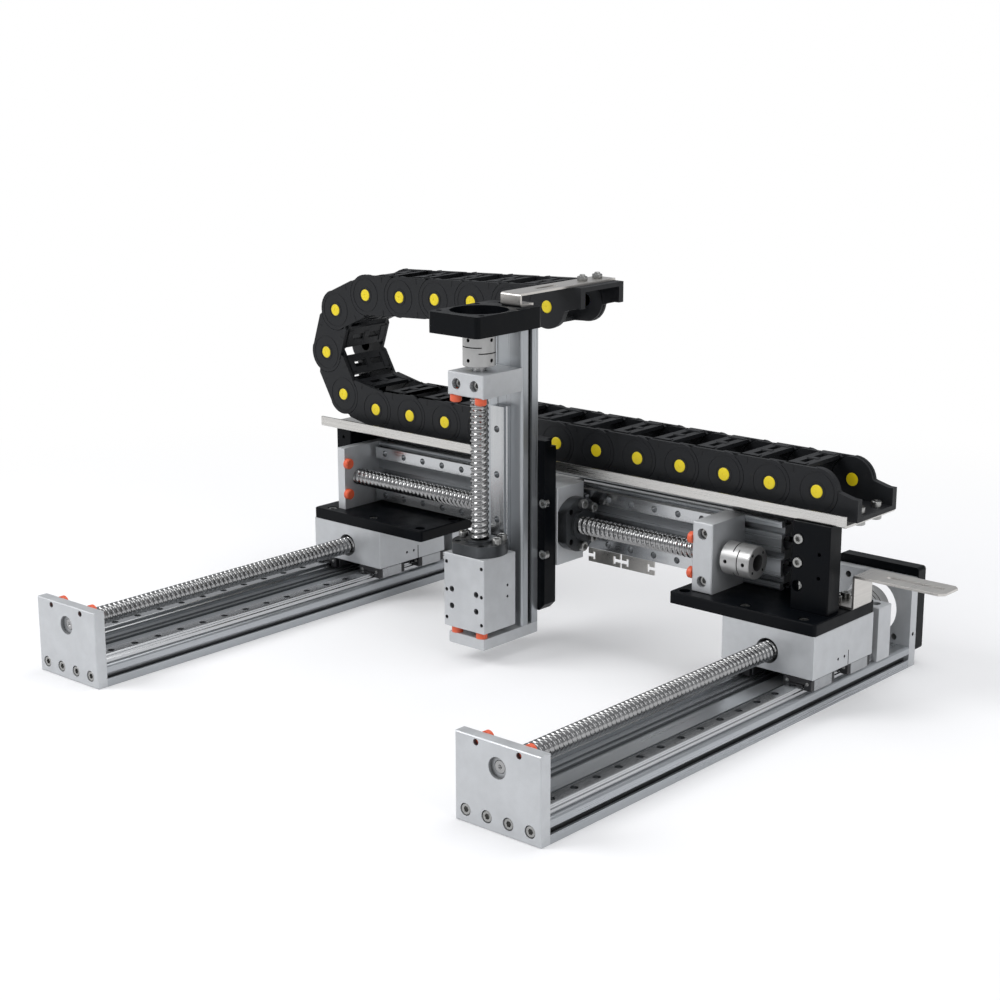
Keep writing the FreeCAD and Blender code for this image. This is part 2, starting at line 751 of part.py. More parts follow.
def x_module():
    parts = {}
    rails = (-x_rail_offset, x_rail_offset)
    parts["beam"] = profile(x_width, x_profile_h, x_profile_len, x_cells, rails, rail_small_w, plate_t,
                            x_deck_slots, x_deck_slot_deep)
    rail_len = x_bearing_at - plate_t - x_rail_start - rail_end_gap
    parts["rails"] = Part.makeCompound([
        rail(c, rail_small_w, rail_small_h, x_profile_h, plate_t + x_rail_start, rail_len,
             rail_small_pitch, rail_first_hole) for c in rails])
    parts["end_plate"] = end_plate(x_width, x_end_h, x_screw_h, x_bolt_places, x_profile_h / 2,
                                   x_bumper_offset, x_bumper_h, 0)
    parts["bearing_block"] = bearing_block(x_width, x_profile_h, x_end_h, x_screw_h, x_block_bolt_offset,
                                           x_bumper_offset, x_bumper_h, x_bearing_at)
    parts["screw"] = lift(screw(journal_recess, x_bearing_at, bearing_block_t, 0), x_screw_h)
    parts["coupling"] = coupling(coupling_d, x_screw_h, x_bearing_at + bearing_block_t + coupling_gap)
    parts["nut"] = nut(x_screw_h, x_carriage_at + x_carriage_len)
    parts["carriage"] = x_carriage()
    a = x_carriage_at + (x_carriage_len - x_block_len) / 2
    parts["guide_blocks"] = Part.makeCompound([
        guide_block(c, a, x_block_len, x_profile_h, rail_small_w, rail_small_h,
                    small_block_w, small_block_top, small_block_under) for c in rails])
    parts["bumpers"] = bumpers(x_bumper_offset, x_bumper_h, x_bumper_t, x_bearing_at)
    parts["cap_screws"] = plate_screws(x_bolt_places, x_profile_h / 2) + block_screws(
        x_profile_h, x_end_h, x_block_bolt_offset, x_bearing_at)
    parts["nut_screws"] = nut_screws(x_screw_h, x_carriage_at + x_carriage_len)
    return parts


def x_carriage():
    body = carriage(x_carriage_w, x_carriage_at, x_carriage_len, x_carriage_bottom, x_carriage_top, x_screw_h)
    tools = []
    for c in (-mount_bolt_dz, mount_bolt_dz):
        for a in (-mount_bolt_dx, mount_bolt_dx):
            place = V(c, x_carriage_at + x_carriage_len / 2 + a, x_carriage_top - 10)
            tools.append(rod(tool_hole_d, place, UP, 12))
    return cut(body, tools)


def z_module():
    parts = {}
    parts["column"] = profile(z_width, z_profile_h, z_profile_len, z_cells, (0,), rail_large_w, plate_t, (), 0)
    parts["rail"] = rail(0, rail_large_w, rail_large_h, z_profile_h, plate_t + z_rail_start, z_rail_len,
                         rail_large_pitch, z_first_hole)
    parts["foot_plate"] = end_plate(z_width, z_end_h, z_screw_h, z_bolt_places, z_profile_h / 2,
                                    z_bumper_offset, z_bumper_h, 0)
    parts["head_block"] = bearing_block(z_width, z_profile_h, z_end_h, z_screw_h, z_block_bolt_offset,
                                        z_bumper_offset, z_bumper_h, z_bearing_at)
    parts["screw"] = lift(screw(journal_recess, z_bearing_at, bearing_block_t, 0), z_screw_h)
    parts["coupling"] = coupling(coupling_d, z_screw_h, z_bearing_at + bearing_block_t + coupling_gap)
    parts["motor_plate"] = z_motor_plate()
    parts["nut"] = nut(z_screw_h, plate_t + z_bumper_t + z_carriage_len)
    parts["carriage"] = z_carriage()
    a = plate_t + z_bumper_t + (z_carriage_len - z_block_len) / 2
    parts["guide_block"] = guide_block(0, a, z_block_len, z_profile_h, rail_large_w, rail_large_h,
                                       large_block_w, large_block_top, large_block_under)
    parts["bumpers"] = bumpers(z_bumper_offset, z_bumper_h, z_bumper_t, z_bearing_at)
    parts["cap_screws"] = plate_screws(z_bolt_places, z_profile_h / 2) + block_screws(
        z_profile_h, z_end_h, z_block_bolt_offset, z_bearing_at)
    parts["nut_screws"] = nut_screws(z_screw_h, plate_t + z_bumper_t + z_carriage_len)
    return parts


def z_carriage():
    start = plate_t + z_bumper_t
    middle = start + z_carriage_len / 2
    body = carriage(z_carriage_w, start, z_carriage_len, z_carriage_bottom, z_carriage_top, z_screw_h)
    pocket_half = large_block_w / 2 + block_gap
    pocket_top = z_profile_h + large_block_top
    tools = [box(-pocket_half, pocket_half, start - 1, start + z_carriage_len + 1,
                 z_carriage_bottom - 1, pocket_top)]
    for c in (-tool_pitch_x / 2, tool_pitch_x / 2):
        for a in (-tool_pitch_z / 2, tool_pitch_z / 2):
            tools.append(rod(tool_hole_d + 1, V(c, middle - tool_holes_low + a, z_carriage_top - 10), UP, 11))
    for c in (-edge_hole_pitch_x / 2, edge_hole_pitch_x / 2):
        for i in (-1, 0, 1):
            tools.append(rod(edge_hole_d, V(c, middle + i * edge_hole_pitch_z, z_carriage_top - 8), UP, 9))
    for a in (middle - z_side_hole_apart / 2, middle + z_side_hole_apart / 2):
        h = z_carriage_bottom + z_side_hole_h
        tools.append(rod(side_hole_d, V(z_carriage_w / 2 - 6, a, h), ACROSS, 7))
        tools.append(rod(side_hole_d, V(-z_carriage_w / 2 - 1, a, h), ACROSS, 7))
    return cut(body, tools)


def z_motor_plate():
    start = plate_t + z_profile_len
    half = z_motor_plate_w / 2
    front = z_screw_h + z_motor_plate_front
    back = z_screw_h - z_motor_plate_back
    body = box(-half, half, start, start + z_motor_plate_t, back, front)
    body = body.makeFillet(4.0, edges_along(body, ALONG, lambda p: True))
    tools = [rod(motor_opening_d, V(0, start - 1, z_screw_h), ALONG, z_motor_plate_t + 2)]
    pitch_half = motor_bolt_pitch / 2
    for c in (-pitch_half, pitch_half):
        for h in (-pitch_half, pitch_half):
            tools.append(rod(motor_bolt_d, V(c, start - 1, z_screw_h + h), ALONG, z_motor_plate_t + 2))
    for c in z_bolt_places:
        tools.append(rod(clearance_hole_d, V(c, start - 1, z_profile_h / 2), ALONG, z_motor_plate_t + 2))
        tools.append(rod(counterbore_d, V(c, start + z_motor_head_at, z_profile_h / 2), ALONG, z_motor_plate_t))
    return cut(body, tools)


def z_mount_plate():
    """Plate that carries the Z module on the X carriage."""
    x0 = z_axis_x - mount_w / 2
    x1 = z_axis_x + mount_w / 2
    body = box(x0, x1, z_back_y, z_back_y + mount_t, mount_bottom, mount_bottom + mount_len)
    low = edges_along(body, ALONG, lambda p: p.z < mount_bottom + 1)
    body = body.makeChamfer(mount_chamfer, low)
    tools = []
    top = mount_bottom + mount_len
    middle_y = z_back_y + mount_t / 2
    for a, b in ((x0 - 1, x0 + mount_notch), (x1 - mount_notch, x1 + 1)):
        tools.append(box(a, b, middle_y, z_back_y + mount_t + 1, top - mount_notch_h, top + 1))
    for x, z in mount_bolts():
        place = V(x, z_back_y - 1, z)
        tools.append(rod(clearance_hole_d, place, ALONG, mount_t + 2))
        tools.append(rod(counterbore_d - 0.6, place, ALONG, 1 + mount_head_deep))
    for i in range(mount_hole_count):
        z = mount_bottom + mount_hole_first + i * mount_hole_pitch
        tools.append(rod(clearance_hole_d, V(z_axis_x, z_back_y - 1, z), ALONG, mount_t + 2))
    return cut(body, tools)


# The bridge that joins the Y carriages

def base_plate(side):
    outer = side * (right_x + y_carriage_w / 2)
    inner = outer - side * base_w
    x0, x1 = sorted((outer, inner))
    y0 = y_carriage_at - base_front
    body = box(x0, x1, y0, y0 + base_depth, y_carriage_top, base_z)
    body = body.makeFillet(base_corner_r, edges_along(body, UP, lambda p: True))
    body = body.makeChamfer(edge_chamfer, [e for e in body.Edges if e.CenterOfMass.z > base_z - 1e-6])
    tools = []
    middle_y = y_carriage_at + y_carriage_len / 2
    spare = [(inner + side * base_spare_edge, middle_y + dy) for dy in (-base_bolt_dy, base_spare_back)]
    for x, y in base_bolts(side) + spare:
        tools.append(rod(clearance_hole_d, V(x, y, y_carriage_top - 1), UP, base_t + 2))
        tools.append(rod(counterbore_d, V(x, y, base_z - counterbore_deep), UP, counterbore_deep + 1))
    return cut(body, tools)


def base_bolts(side):
    middle_y = y_carriage_at + y_carriage_len / 2
    return [(side * right_x + dx, middle_y + dy) for dx in (-base_bolt_dx, base_bolt_dx)
            for dy in (-base_bolt_dy, base_bolt_dy)]


def back_plate(side, end_x):
    """Plate behind the beam, from near the base plate's inner edge to end_x."""
    inner = side * (right_x + y_carriage_w / 2 - base_w + upright_inset)
    x0, x1 = sorted((inner, end_x))
    return box(x0, x1, x_back_y, x_back_y + upright_t, base_z, tray_z)


def beam_bolts(side):
    """Counterbored holes for the bolts that hold the beam on a back plate."""
    tools = []
    first = right_x + y_carriage_w / 2 - base_w + upright_inset + beam_bolt_in
    for x in (side * first, side * (first + beam_bolt_apart)):
        for z in (-cell_pitch / 2, cell_pitch / 2):
            place = V(x, x_back_y - 1, x_axis_z + z)
            tools.append(rod(clearance_hole_d, place, ALONG, upright_t + 2))
            head = place + V(0, 1 + upright_t - beam_head_deep, 0)
            tools.append(rod(counterbore_d, head, ALONG, beam_head_deep + 1))
    return tools


def upright_right():
    """Back plate behind the beam with a web that runs forward to the cheek."""
    back = back_plate(1, upright_end_x)
    web = box(cheek_x0, cheek_x0 + upright_t, cheek_front_y + cheek_t, x_back_y + web_lap, base_z, tray_z)
    tools = beam_bolts(1)
    for z in cheek_bolt_heights():
        place = V(cheek_x0 + upright_t / 2, cheek_front_y + cheek_t - 1, z)
        tools.append(rod(tool_hole_d, place, ALONG, 1 + cheek_bolt_deep))
    return cut(union([back, web]), tools)


def cheek_bolt_heights():
    return [base_z + cheek_bolt_z + i * cheek_bolt_pitch for i in (-1, 0, 1)]


def upright_cheek():
    """Front block of the right upright, held by three cap screws."""
    body = box(cheek_x0, cheek_x1, cheek_front_y, cheek_front_y + cheek_t, base_z, tray_z)
    body = body.makeChamfer(edge_chamfer, edges_along(body, UP, lambda p: p.y < cheek_front_y + 1))
    tools = []
    for z in cheek_bolt_heights():
        place = V(cheek_x0 + upright_t / 2, cheek_front_y - 1, z)
        tools.append(rod(clearance_hole_d, place, ALONG, cheek_t + 2))
        tools.append(rod(counterbore_d, place, ALONG, 1 + cheek_seat))
    for i in (-0.5, 0.5):
        z = base_z + cheek_bolt_z + i * cheek_bolt_pitch
        tools.append(rod(upright_spare_d, V(cheek_x1 - cheek_spare_in, cheek_front_y - 1, z), ALONG, 9))
    return cut(body, tools)


def cheek_screws():
    screws = []
    for z in cheek_bolt_heights():
        seat = V(cheek_x0 + upright_t / 2, cheek_front_y + cheek_seat, z)
        screws.append(cap_screw(seat, V(0, -1, 0), cheek_t - cheek_seat))
    return screws


def bridge_screws():
    """Screws of the base plates, the front cheek, the small bracket and the chain end."""
    screws = cheek_screws()
    for side in (-1, 1):
        for x, y in base_bolts(side):
            screws.append(cap_screw(V(x, y, base_z - counterbore_deep), UP, base_t - counterbore_deep))
    for x, y in slot_bracket_bolts():
        screws.append(cap_screw(V(x, y, base_z + arm_sheet), UP, arm_sheet))
    for x, y in fixed_end_bolts():
        seat = tray_z + tray_t + bracket_floor
        bolt = cap_screw(V(x, y, seat), UP, bracket_floor + tray_t + tray_nut_h)
        lock = hexagon(arm_nut_d, tray_nut_h)
        lock.translate(V(x, y, tray_z - tray_nut_h))
        screws.append(union([bolt, lock]))
    return screws


def mount_screws():
    """Screws that hold the mount plate on the X carriage."""
    screws = []
    for x, z in mount_bolts():
        screws.append(cap_screw(V(x, z_back_y + mount_head_deep, z), V(0, -1, 0), mount_t - mount_head_deep))
    return screws


def mount_bolts():
    return [(z_axis_x + dx, x_axis_z + dz) for dx in (-mount_bolt_dx, mount_bolt_dx)
            for dz in (-mount_bolt_dz, mount_bolt_dz)]


def upright_left():
    """Left upright: a post beside the end plate and a plate behind the beam."""
    outer = -right_x - y_carriage_w / 2
    post = box(outer, -post_inner_x, post_front_y, x_back_y + upright_t, base_z, tray_z)
    body = union([post, back_plate(-1, outer)])
    body = body.makeChamfer(edge_chamfer, edges_along(body, UP, lambda p: p.y < post_front_y + 1))
    tools = beam_bolts(-1)
    middle = (outer - post_inner_x) / 2
    for z in (tray_z - post_hole_high, base_z + post_hole_low):
        tools.append(rod(upright_spare_d, V(middle, post_front_y - 1, z), ALONG, 11))
    return cut(body, tools)


def chain_tray():
    """Folded sheet tray with a front lip."""
    floor = box(tray_left, tray_right, tray_front, tray_back, tray_z, tray_z + tray_t)
    lip = box(tray_left, tray_right, tray_front, tray_front + tray_t, tray_z, tray_z + tray_lip)
    body = union([floor, lip])
    bend = edges_along(body, ACROSS, lambda p: p.y < tray_front + 0.1 and p.z < tray_z + 0.1)
    body = body.makeFillet(1.5, bend)
    tools = [rod(bracket_hole_d, V(x, y, tray_z - 1), UP, tray_t + 2) for x, y in fixed_end_bolts()]
    return cut(body, tools)


def fixed_end_bolts():
    return [(fixed_pivot_x + fixed_bolt_x, chain_front + y) for y in fixed_bolt_y]


def slotted_bracket():
    """Folded sheet arm on the right base plate, for a sensor or a cable clip."""
    t = arm_sheet
    wall_out = slot_bracket_wall_x
    low = base_z
    high = low + slot_bracket_h
    y0 = slot_bracket_y
    y1 = y0 + slot_bracket_w
    foot = box(wall_out - slot_bracket_foot, wall_out, y0, y1, low, low + t)
    wall = box(wall_out - t, wall_out, y0, y1, low, high)
    arm = box(wall_out - t, wall_out + slot_bracket_reach, y0, y1, high - t, high)
    body = union([foot, wall, arm])
    outer_r = slot_bracket_r
    bends = edges_along(body, ALONG, lambda p: abs(p.x - wall_out) < 0.1 and p.z < low + 0.1)
    bends += edges_along(body, ALONG, lambda p: abs(p.x - wall_out + t) < 0.1 and p.z > high - 0.1)
    body = body.makeFillet(outer_r - 1, bends)
    tip = wall_out + slot_bracket_reach
    body = body.makeChamfer(4.0, edges_along(body, UP, lambda p: p.x > tip - 0.1))
    centre = (y0 + y1) / 2
    half = slot_bracket_slot_w / 2
    s1 = tip - slot_bracket_tip
    s0 = s1 - slot_bracket_slot
    tools = [box(s0, s1, centre - half, centre + half, high - t - 1, high + 1)]
    tools += [rod(slot_bracket_slot_w, V(x, centre, high - t - 1), UP, t + 2) for x in (s0, s1)]
    for x, y in slot_bracket_bolts():
        tools.append(rod(clearance_hole_d, V(x, y, low - 1), UP, t + 2))
    return cut(body, tools)


def slot_bracket_bolts():
    x = slot_bracket_wall_x - slot_bracket_foot + slot_bracket_bolt_in
    centre = slot_bracket_y + slot_bracket_w / 2
    return [(x, centre - slot_bracket_bolt_dy), (x, centre + slot_bracket_bolt_dy)]


def sensor_flags():
    """Two thin flags under the beam, each with cut-outs at its ends."""
    flags = []
    top = x_axis_z - x_width / 2 + flag_h - flag_drop
    deck_y = x_back_y - x_profile_h
    for i in (0, 1):
        x0 = flag_start + i * flag_step
        x1 = x0 + flag_len
        body = box(x0, x1, deck_y - flag_t, deck_y, top - flag_h, top)
        tools = []
        middle = top - flag_h + flag_drop / 2
        for x, side in ((x0, 1), (x1, -1)):
            xs = sorted((x - side, x + side * 5))
            tools.append(box(xs[0], xs[1], deck_y - flag_t - 1, deck_y + 1, middle - 1.6, middle + 1.6))
            xs = sorted((x + side * 5, x + side * 7.5))
            tools.append(box(xs[0], xs[1], deck_y - flag_t - 1, deck_y + 1, middle - 3.6, middle + 3.6))
        flags.append(cut(body, tools))
    return Part.makeCompound(flags)


# Drag chain, drawn link by link between pivots

def chain_pivots():
    """Pivot centres from the fixed end, along the tray, round the loop and back."""
    points = [(fixed_pivot_x - i * pitch, chain_pivot_z) for i in range(lower_links + 1)]
    for turn in loop_turns:
        x, z = points[-1]
        angle = math.radians(180 - turn)
        points.append((x + pitch * math.cos(angle), z + pitch * math.sin(angle)))
    end_z = arm_height() - chain_lift - link_r
    angle = math.asin((end_z - points[-1][1]) / (upper_links * pitch))
    for _ in range(upper_links):
        x, z = points[-1]
        points.append((x + pitch * math.cos(angle), z + pitch * math.sin(angle)))
    return points


def side_plate(y0, y1, hub_x, clear_x, hub_r):
    """Half of a link's cheek: a round hub at one pivot, cleared at the other."""
    hub = rod(2 * hub_r, V(hub_x, y0, 0), ALONG, y1 - y0)
    tall = link_r - web_inset
    inward = 1 if clear_x < pitch / 2 else -1
    tip = [(clear_x, tall - tip_chamfer), (clear_x + inward * tip_flat, tall - tip_chamfer),
           (clear_x + inward * tip_len, tall), (hub_x, tall)]
    outline = tip + [(x, -z) for x, z in reversed(tip)]
    web = prism([(x, y0, z) for x, z in outline], V(0, y1 - y0, 0))
    gap = rod(2 * (link_r + hub_gap), V(clear_x, y0 - 1, 0), ALONG, y1 - y0 + 2)
    return union([hub, web.cut(gap)])


def chain_link():
    """One link: outer lugs at its first pivot, inner lugs at its second."""
    pieces = []
    tall = link_r - web_inset
    filler_cut = [rod(2 * (link_r + hub_gap), V(x, -1, 0), ALONG, chain_w + 2) for x in (0, pitch)]
    inner_r = link_r - inner_hub_step
    for side in (0, 1):
        outer = side_plate(0, lug_t, 0, pitch, link_r)
        inner = side_plate(lug_t + lug_gap, 2 * lug_t + lug_gap, pitch, 0, inner_r)
        low = tall - tip_chamfer
        filler = box(0, pitch, lug_t, lug_t + lug_gap, -low, low).cut(filler_cut)
        half = union([outer, filler, inner])
        if side:
            half = half.mirror(V(0, chain_w / 2, 0), ALONG)
        pieces.append(half)
    inside = 2 * lug_t + lug_gap
    x0 = (pitch - bar_len) / 2
    for z in (-tall, tall - bar_t):
        pieces.append(box(x0, x0 + bar_len, lug_t, chain_w - lug_t, z, z + bar_t))
    body = union(pieces)
    tools = []
    for x in (0, pitch):
        for y in (-1, chain_w - inside - 1):
            tools.append(rod(pin_d + 2 * pin_gap, V(x, y, 0), ALONG, inside + 2))
    for y in (chain_w * 0.2, chain_w * 0.8 - window_len):
        x1 = (pitch - window_w) / 2
        tools.append(box(x1, x1 + window_w, y, y + window_len, -link_r - 1, link_r + 1))
    return cut(body, tools)


def chain_pins(points):
    """Yellow pivot pins, one each side, whose caps stand proud of the link."""
    pins = []
    length = 2 * lug_t + lug_gap + pin_face
    for x, z in points:
        for y in (chain_front - pin_face, chain_front + chain_w - length + pin_face):
            pins.append(rod(pin_d, V(x, y, z), ALONG, length))
    return Part.makeCompound(pins)


def put_link(shape, start, end):
    """Place a link drawn on the X axis so that its pivots lie at start and end."""
    angle = math.degrees(math.atan2(end[1] - start[1], end[0] - start[0]))
    turn = FreeCAD.Rotation(V(0, -1, 0), angle)
    moved = shape.copy()
    moved.Placement = FreeCAD.Placement(V(start[0], chain_front, start[1]), turn)
    return moved


def end_bracket(inner_lugs, bolt_x, bolt_y):
    """Chain end: two sloping walls on a floor, drawn towards +X from its pivot."""
    if inner_lugs:
        y0, y1, hub_r = lug_t + lug_gap, 2 * lug_t + lug_gap, link_r - inner_hub_step
    else:
        y0, y1, hub_r = 0, lug_t, link_r
    reach = bracket_reach
    low = -link_r - chain_lift
    clear = rod(2 * (link_r + hub_gap), V(0, -1, 0), ALONG, chain_w + 2)
    pieces = []
    for side in (0, 1):
        hub = rod(2 * hub_r, V(0, y0, 0), ALONG, y1 - y0)
        slope = [(0, y0, low), (reach, y0, low), (reach, y0, low + bracket_end_h)]
        slope += [(reach - 5, y0, low + bracket_end_h), (link_r + 1, y0, 2), (0, y0, link_r - 2)]
        wall = prism(slope, V(0, y1 - y0, 0))
        rim = prism([(p[0], 0, p[2]) for p in slope], V(0, 2 * lug_t + lug_gap, 0)).cut(clear)
        half = union([hub.fuse(wall).common(box(-link_r - 1, reach, y0, y1, low, link_r)), rim])
        if side:
            half = half.mirror(V(0, chain_w / 2, 0), ALONG)
        pieces.append(half)
    pieces.append(box(link_r + hub_gap, reach, 0, chain_w, low, low + bracket_floor))
    inner = 2 * lug_t + 2 * lug_gap
    pieces.append(box(bracket_tongue_x, reach, inner, chain_w - inner, low, low + bracket_floor))
    body = union(pieces)
    tools = []
    for y in bolt_y:
        tools.append(rod(bracket_hole_d, V(bolt_x, y, low - 1), UP, bracket_floor + 2))
    for y in (-1, chain_w - y1 - 1):
        tools.append(rod(pin_d + 2 * pin_gap, V(0, y, 0), ALONG, y1 + 2))
    return cut(body, tools)


def chain_arm(end_z):
    """Folded strip from the Z motor plate out over the chain's moving end."""
    t = arm_sheet
    arm_centre_x, spots = arm_places()
    x0 = arm_centre_x - arm_w / 2
    x1 = arm_centre_x + arm_w / 2
    low = z_top + z_motor_plate_t
    y0 = arm_front_y
    y1 = chain_front + chain_w
    foot = box(x0, x1, y0, y0 + arm_foot, low, low + t)
    wall_low, wall_high = sorted((low, end_z))
    wall = box(x0, x1, y0, y0 + t, wall_low, wall_high + t)
    strip = box(x0, x1, y0, y1, end_z, end_z + t)
    body = union([foot, wall, strip])
    bends = edges_along(body, ACROSS, lambda p: p.y < y0 + 0.1)
    body = body.makeFillet(arm_bend_r, bends)
    tools = []
    half = arm_slot_w / 2
    slot_y = y0 + arm_slot_in
    tools.append(box(arm_centre_x - half, arm_centre_x + half, slot_y, slot_y + arm_slot_len,
                     end_z - 1, end_z + t + 1))
    for y in spots:
        tools.append(rod(clearance_hole_d, V(arm_centre_x, y, end_z - 1), UP, t + 2))
    return cut(body, tools)


def arm_places():
    """Middle of the strip, and where its bolts go through the chain's end."""
    last_x = chain_pivots()[-1][0]
    return last_x + moving_bolt_x, [chain_front + y for y in moving_bolt_y]


def arm_bolts(end_z):
    """Hexagon nuts with stud ends that clamp the chain end under the strip."""
    bolts = []
    arm_centre_x, spots = arm_places()
    for y in spots:
        nut_part = hexagon(arm_nut_d, arm_nut_h)
        nut_part.translate(V(arm_centre_x, y, end_z + arm_sheet))
        stud = rod(cap_shank_d, V(arm_centre_x, y, end_z - bracket_floor), UP,
                   bracket_floor + arm_sheet + arm_nut_h + 1.5)
        bolts.append(union([nut_part, stud]))
    return bolts


def chain_parts():
    points = chain_pivots()
    link = chain_link()
    lower = []
    loop = []
    upper = []
    loop_end = lower_links + len(loop_turns)
    for i in range(len(points) - 1):
        piece = put_link(link, points[i], points[i + 1])
        if i < lower_links:
            lower.append(piece)
        elif i < loop_end:
            loop.append(piece)
        else:
            upper.append(piece)
    parts = {}
    parts["chain_links_lower"] = Part.makeCompound(lower)
    parts["chain_links_loop"] = Part.makeCompound(loop)
    parts["chain_links_upper"] = Part.makeCompound(upper)
    parts["chain_pins_lower"] = chain_pins(points[:lower_links])
    parts["chain_pins_loop"] = chain_pins(points[lower_links:loop_end])
    parts["chain_pins_upper"] = chain_pins(points[loop_end:])
    fixed = end_bracket(True, fixed_bolt_x, fixed_bolt_y)
    fixed.Placement = FreeCAD.Placement(V(points[0][0], chain_front, points[0][1]), FreeCAD.Rotation())
    parts["chain_fixed_end"] = fixed
    last = points[-1]
    moving = end_bracket(False, moving_bolt_x, moving_bolt_y)
    moving = moving.mirror(V(0, 0, 0), UP)
    moving.translate(V(last[0], chain_front, last[1]))
    parts["chain_moving_end"] = moving
    parts["chain_arm"] = chain_arm(arm_height())
    return parts


def arm_height():
    """Underside of the arm's strip; the chain's upper run slopes up to it."""
    return z_top + z_motor_plate_t + arm_rise


def frame_shift():
    """Vector that brings the middle of the robot's footprint to the origin."""
    points = chain_pivots()
    left = min(x for x, _ in points) - link_r
    right = slot_bracket_wall_x + slot_bracket_reach
    return V(-(left + right) / 2, -y_total / 2, 0)


def group(shapes):
    return Part.makeCompound(shapes)


def floor_nodes(nodes):
    """Both Y modules. Like parts of the two modules share a node, as groups."""
    module = y_module()
    shared = {"rails": [], "bumpers": [], "guide_blocks": [], "rear_plate": [], "motor_plate": [],
              "cap_screws": [], "nut_screws": []}
    for side, x in (("left", -right_x), ("right", right_x)):
        for name, shape in module.items():
            if name in shared:
                many = shape if isinstance(shape, list) else [shape]
                shared[name] += [on_y(one, x) for one in many]
            else:
                nodes["y_" + side + "_" + name] = on_y(shape, x)
    nodes["y_rails"] = group(shared["rails"])
    nodes["y_bumpers"] = group(shared["bumpers"])
    nodes["y_guide_blocks"] = group(shared["guide_blocks"])
    nodes["y_rear_plates"] = group(shared["rear_plate"])
    nodes["y_motor_plates"] = group(shared["motor_plate"])
    nodes["screws_floor"] = group(shared["cap_screws"])
    return shared["nut_screws"]


def raised_nodes(nodes, prefix, module, place):
    """One raised module; its screws are given back for the shared screw nodes."""
    screws = {}
    for name, shape in module.items():
        if name in ("cap_screws", "nut_screws"):
            screws[name] = [place(one) for one in shape]
        elif isinstance(shape, list):
            nodes[prefix + name] = group([place(one) for one in shape])
        else:
            nodes[prefix + name] = place(shape)
    return screws


def build():
    nodes = {}
    y_nut_screws = floor_nodes(nodes)
    x_screws = raised_nodes(nodes, "x_", x_module(), on_x)
    z_screws = raised_nodes(nodes, "z_", z_module(), on_z)
    nodes["z_mount_plate"] = z_mount_plate()
    nodes["base_plates"] = group([base_plate(-1), base_plate(1)])
    nodes["uprights"] = group([upright_left(), upright_right()])
    nodes["upright_cheek"] = upright_cheek()
    nodes["chain_tray"] = chain_tray()
    nodes["slotted_bracket"] = slotted_bracket()
    nodes["x_sensor_flags"] = sensor_flags()
    nodes.update(chain_parts())
    nodes["screws_bridge"] = group(bridge_screws() + y_nut_screws + x_screws["cap_screws"])
    cross = mount_screws() + x_screws["nut_screws"] + z_screws["cap_screws"]
    nodes["screws_cross"] = group(cross + arm_bolts(arm_height()))
    nodes["screws_tool"] = group(z_screws["nut_screws"])
    return nodes


def export(nodes):
    os.makedirs("parts", exist_ok=True)
    shift = frame_shift()
    for name, shape in nodes.items():
        shape.translate(shift)
        shape.exportStep("parts/" + name + ".step")


export(build())
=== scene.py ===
import json
import math

import bmesh
import bpy
from mathutils import Matrix, Vector


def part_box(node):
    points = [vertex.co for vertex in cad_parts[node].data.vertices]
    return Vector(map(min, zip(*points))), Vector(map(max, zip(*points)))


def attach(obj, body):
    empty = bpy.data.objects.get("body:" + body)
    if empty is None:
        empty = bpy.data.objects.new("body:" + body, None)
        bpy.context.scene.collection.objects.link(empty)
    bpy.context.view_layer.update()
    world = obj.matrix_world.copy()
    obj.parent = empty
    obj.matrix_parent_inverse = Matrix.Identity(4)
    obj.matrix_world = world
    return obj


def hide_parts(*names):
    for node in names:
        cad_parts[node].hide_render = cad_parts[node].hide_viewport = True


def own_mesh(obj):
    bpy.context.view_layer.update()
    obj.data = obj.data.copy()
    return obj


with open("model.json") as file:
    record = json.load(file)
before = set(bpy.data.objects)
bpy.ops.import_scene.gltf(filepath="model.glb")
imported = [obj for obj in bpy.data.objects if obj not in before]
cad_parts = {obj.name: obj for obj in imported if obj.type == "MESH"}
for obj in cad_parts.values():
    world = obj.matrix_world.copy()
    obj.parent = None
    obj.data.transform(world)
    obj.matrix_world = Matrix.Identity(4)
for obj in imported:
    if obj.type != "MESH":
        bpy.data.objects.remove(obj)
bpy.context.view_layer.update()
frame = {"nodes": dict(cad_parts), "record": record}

MM = 0.001

# The model's own sizes, in millimetres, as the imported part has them,
# in a measuring frame that has x 0 midway between the floor modules and y 0 at their front
BEAM_LEFT = -254.0
X_START = -264.0
X_BACK_Y = 407.6
X_AXIS_Z = 108.5
Z_AXIS_X = -17.0
Z_BACK_Y = 324.1
Z_BOTTOM = 14.0
Y_AXES = (-240.0, 240.0)
SCREW_H = 48.0              # ball screw above the back of a floor or beam module
TOOL_SCREW_H = 53.0
Y_BEARING_AT = 436.0        # bearing block's near face along each module
X_BEARING_AT = 419.5
Z_BEARING_AT = 219.5
BEARING_BLOCK_T = 20.0
END_PLATE_T = 10.0
COUPLING_GAP = 4.5          # from bearing block to coupling
SHAFT_IN_COUPLING = 14.0
Y_CARRIAGE_AT = 329.0
Y_CARRIAGE_LEN = 90.0
X_CARRIAGE_AT = 217.0
X_CARRIAGE_LEN = 60.0
Z_CARRIAGE_AT = 16.0
Z_CARRIAGE_LEN = 65.5
Y_RAIL_OFFSET = 29.3        # of a module's two rails from its middle
X_RAIL_OFFSET = 20.6

SHIFT_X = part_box("x_beam")[0][0] / MM - BEAM_LEFT
SHIFT_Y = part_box("y_left_end_plate")[0][1] / MM


def at(x, y, z):
    """A place in the measuring frame, in metres of the row frame."""
    return Vector(((x + SHIFT_X) * MM, (y + SHIFT_Y) * MM, z * MM))


# Materials

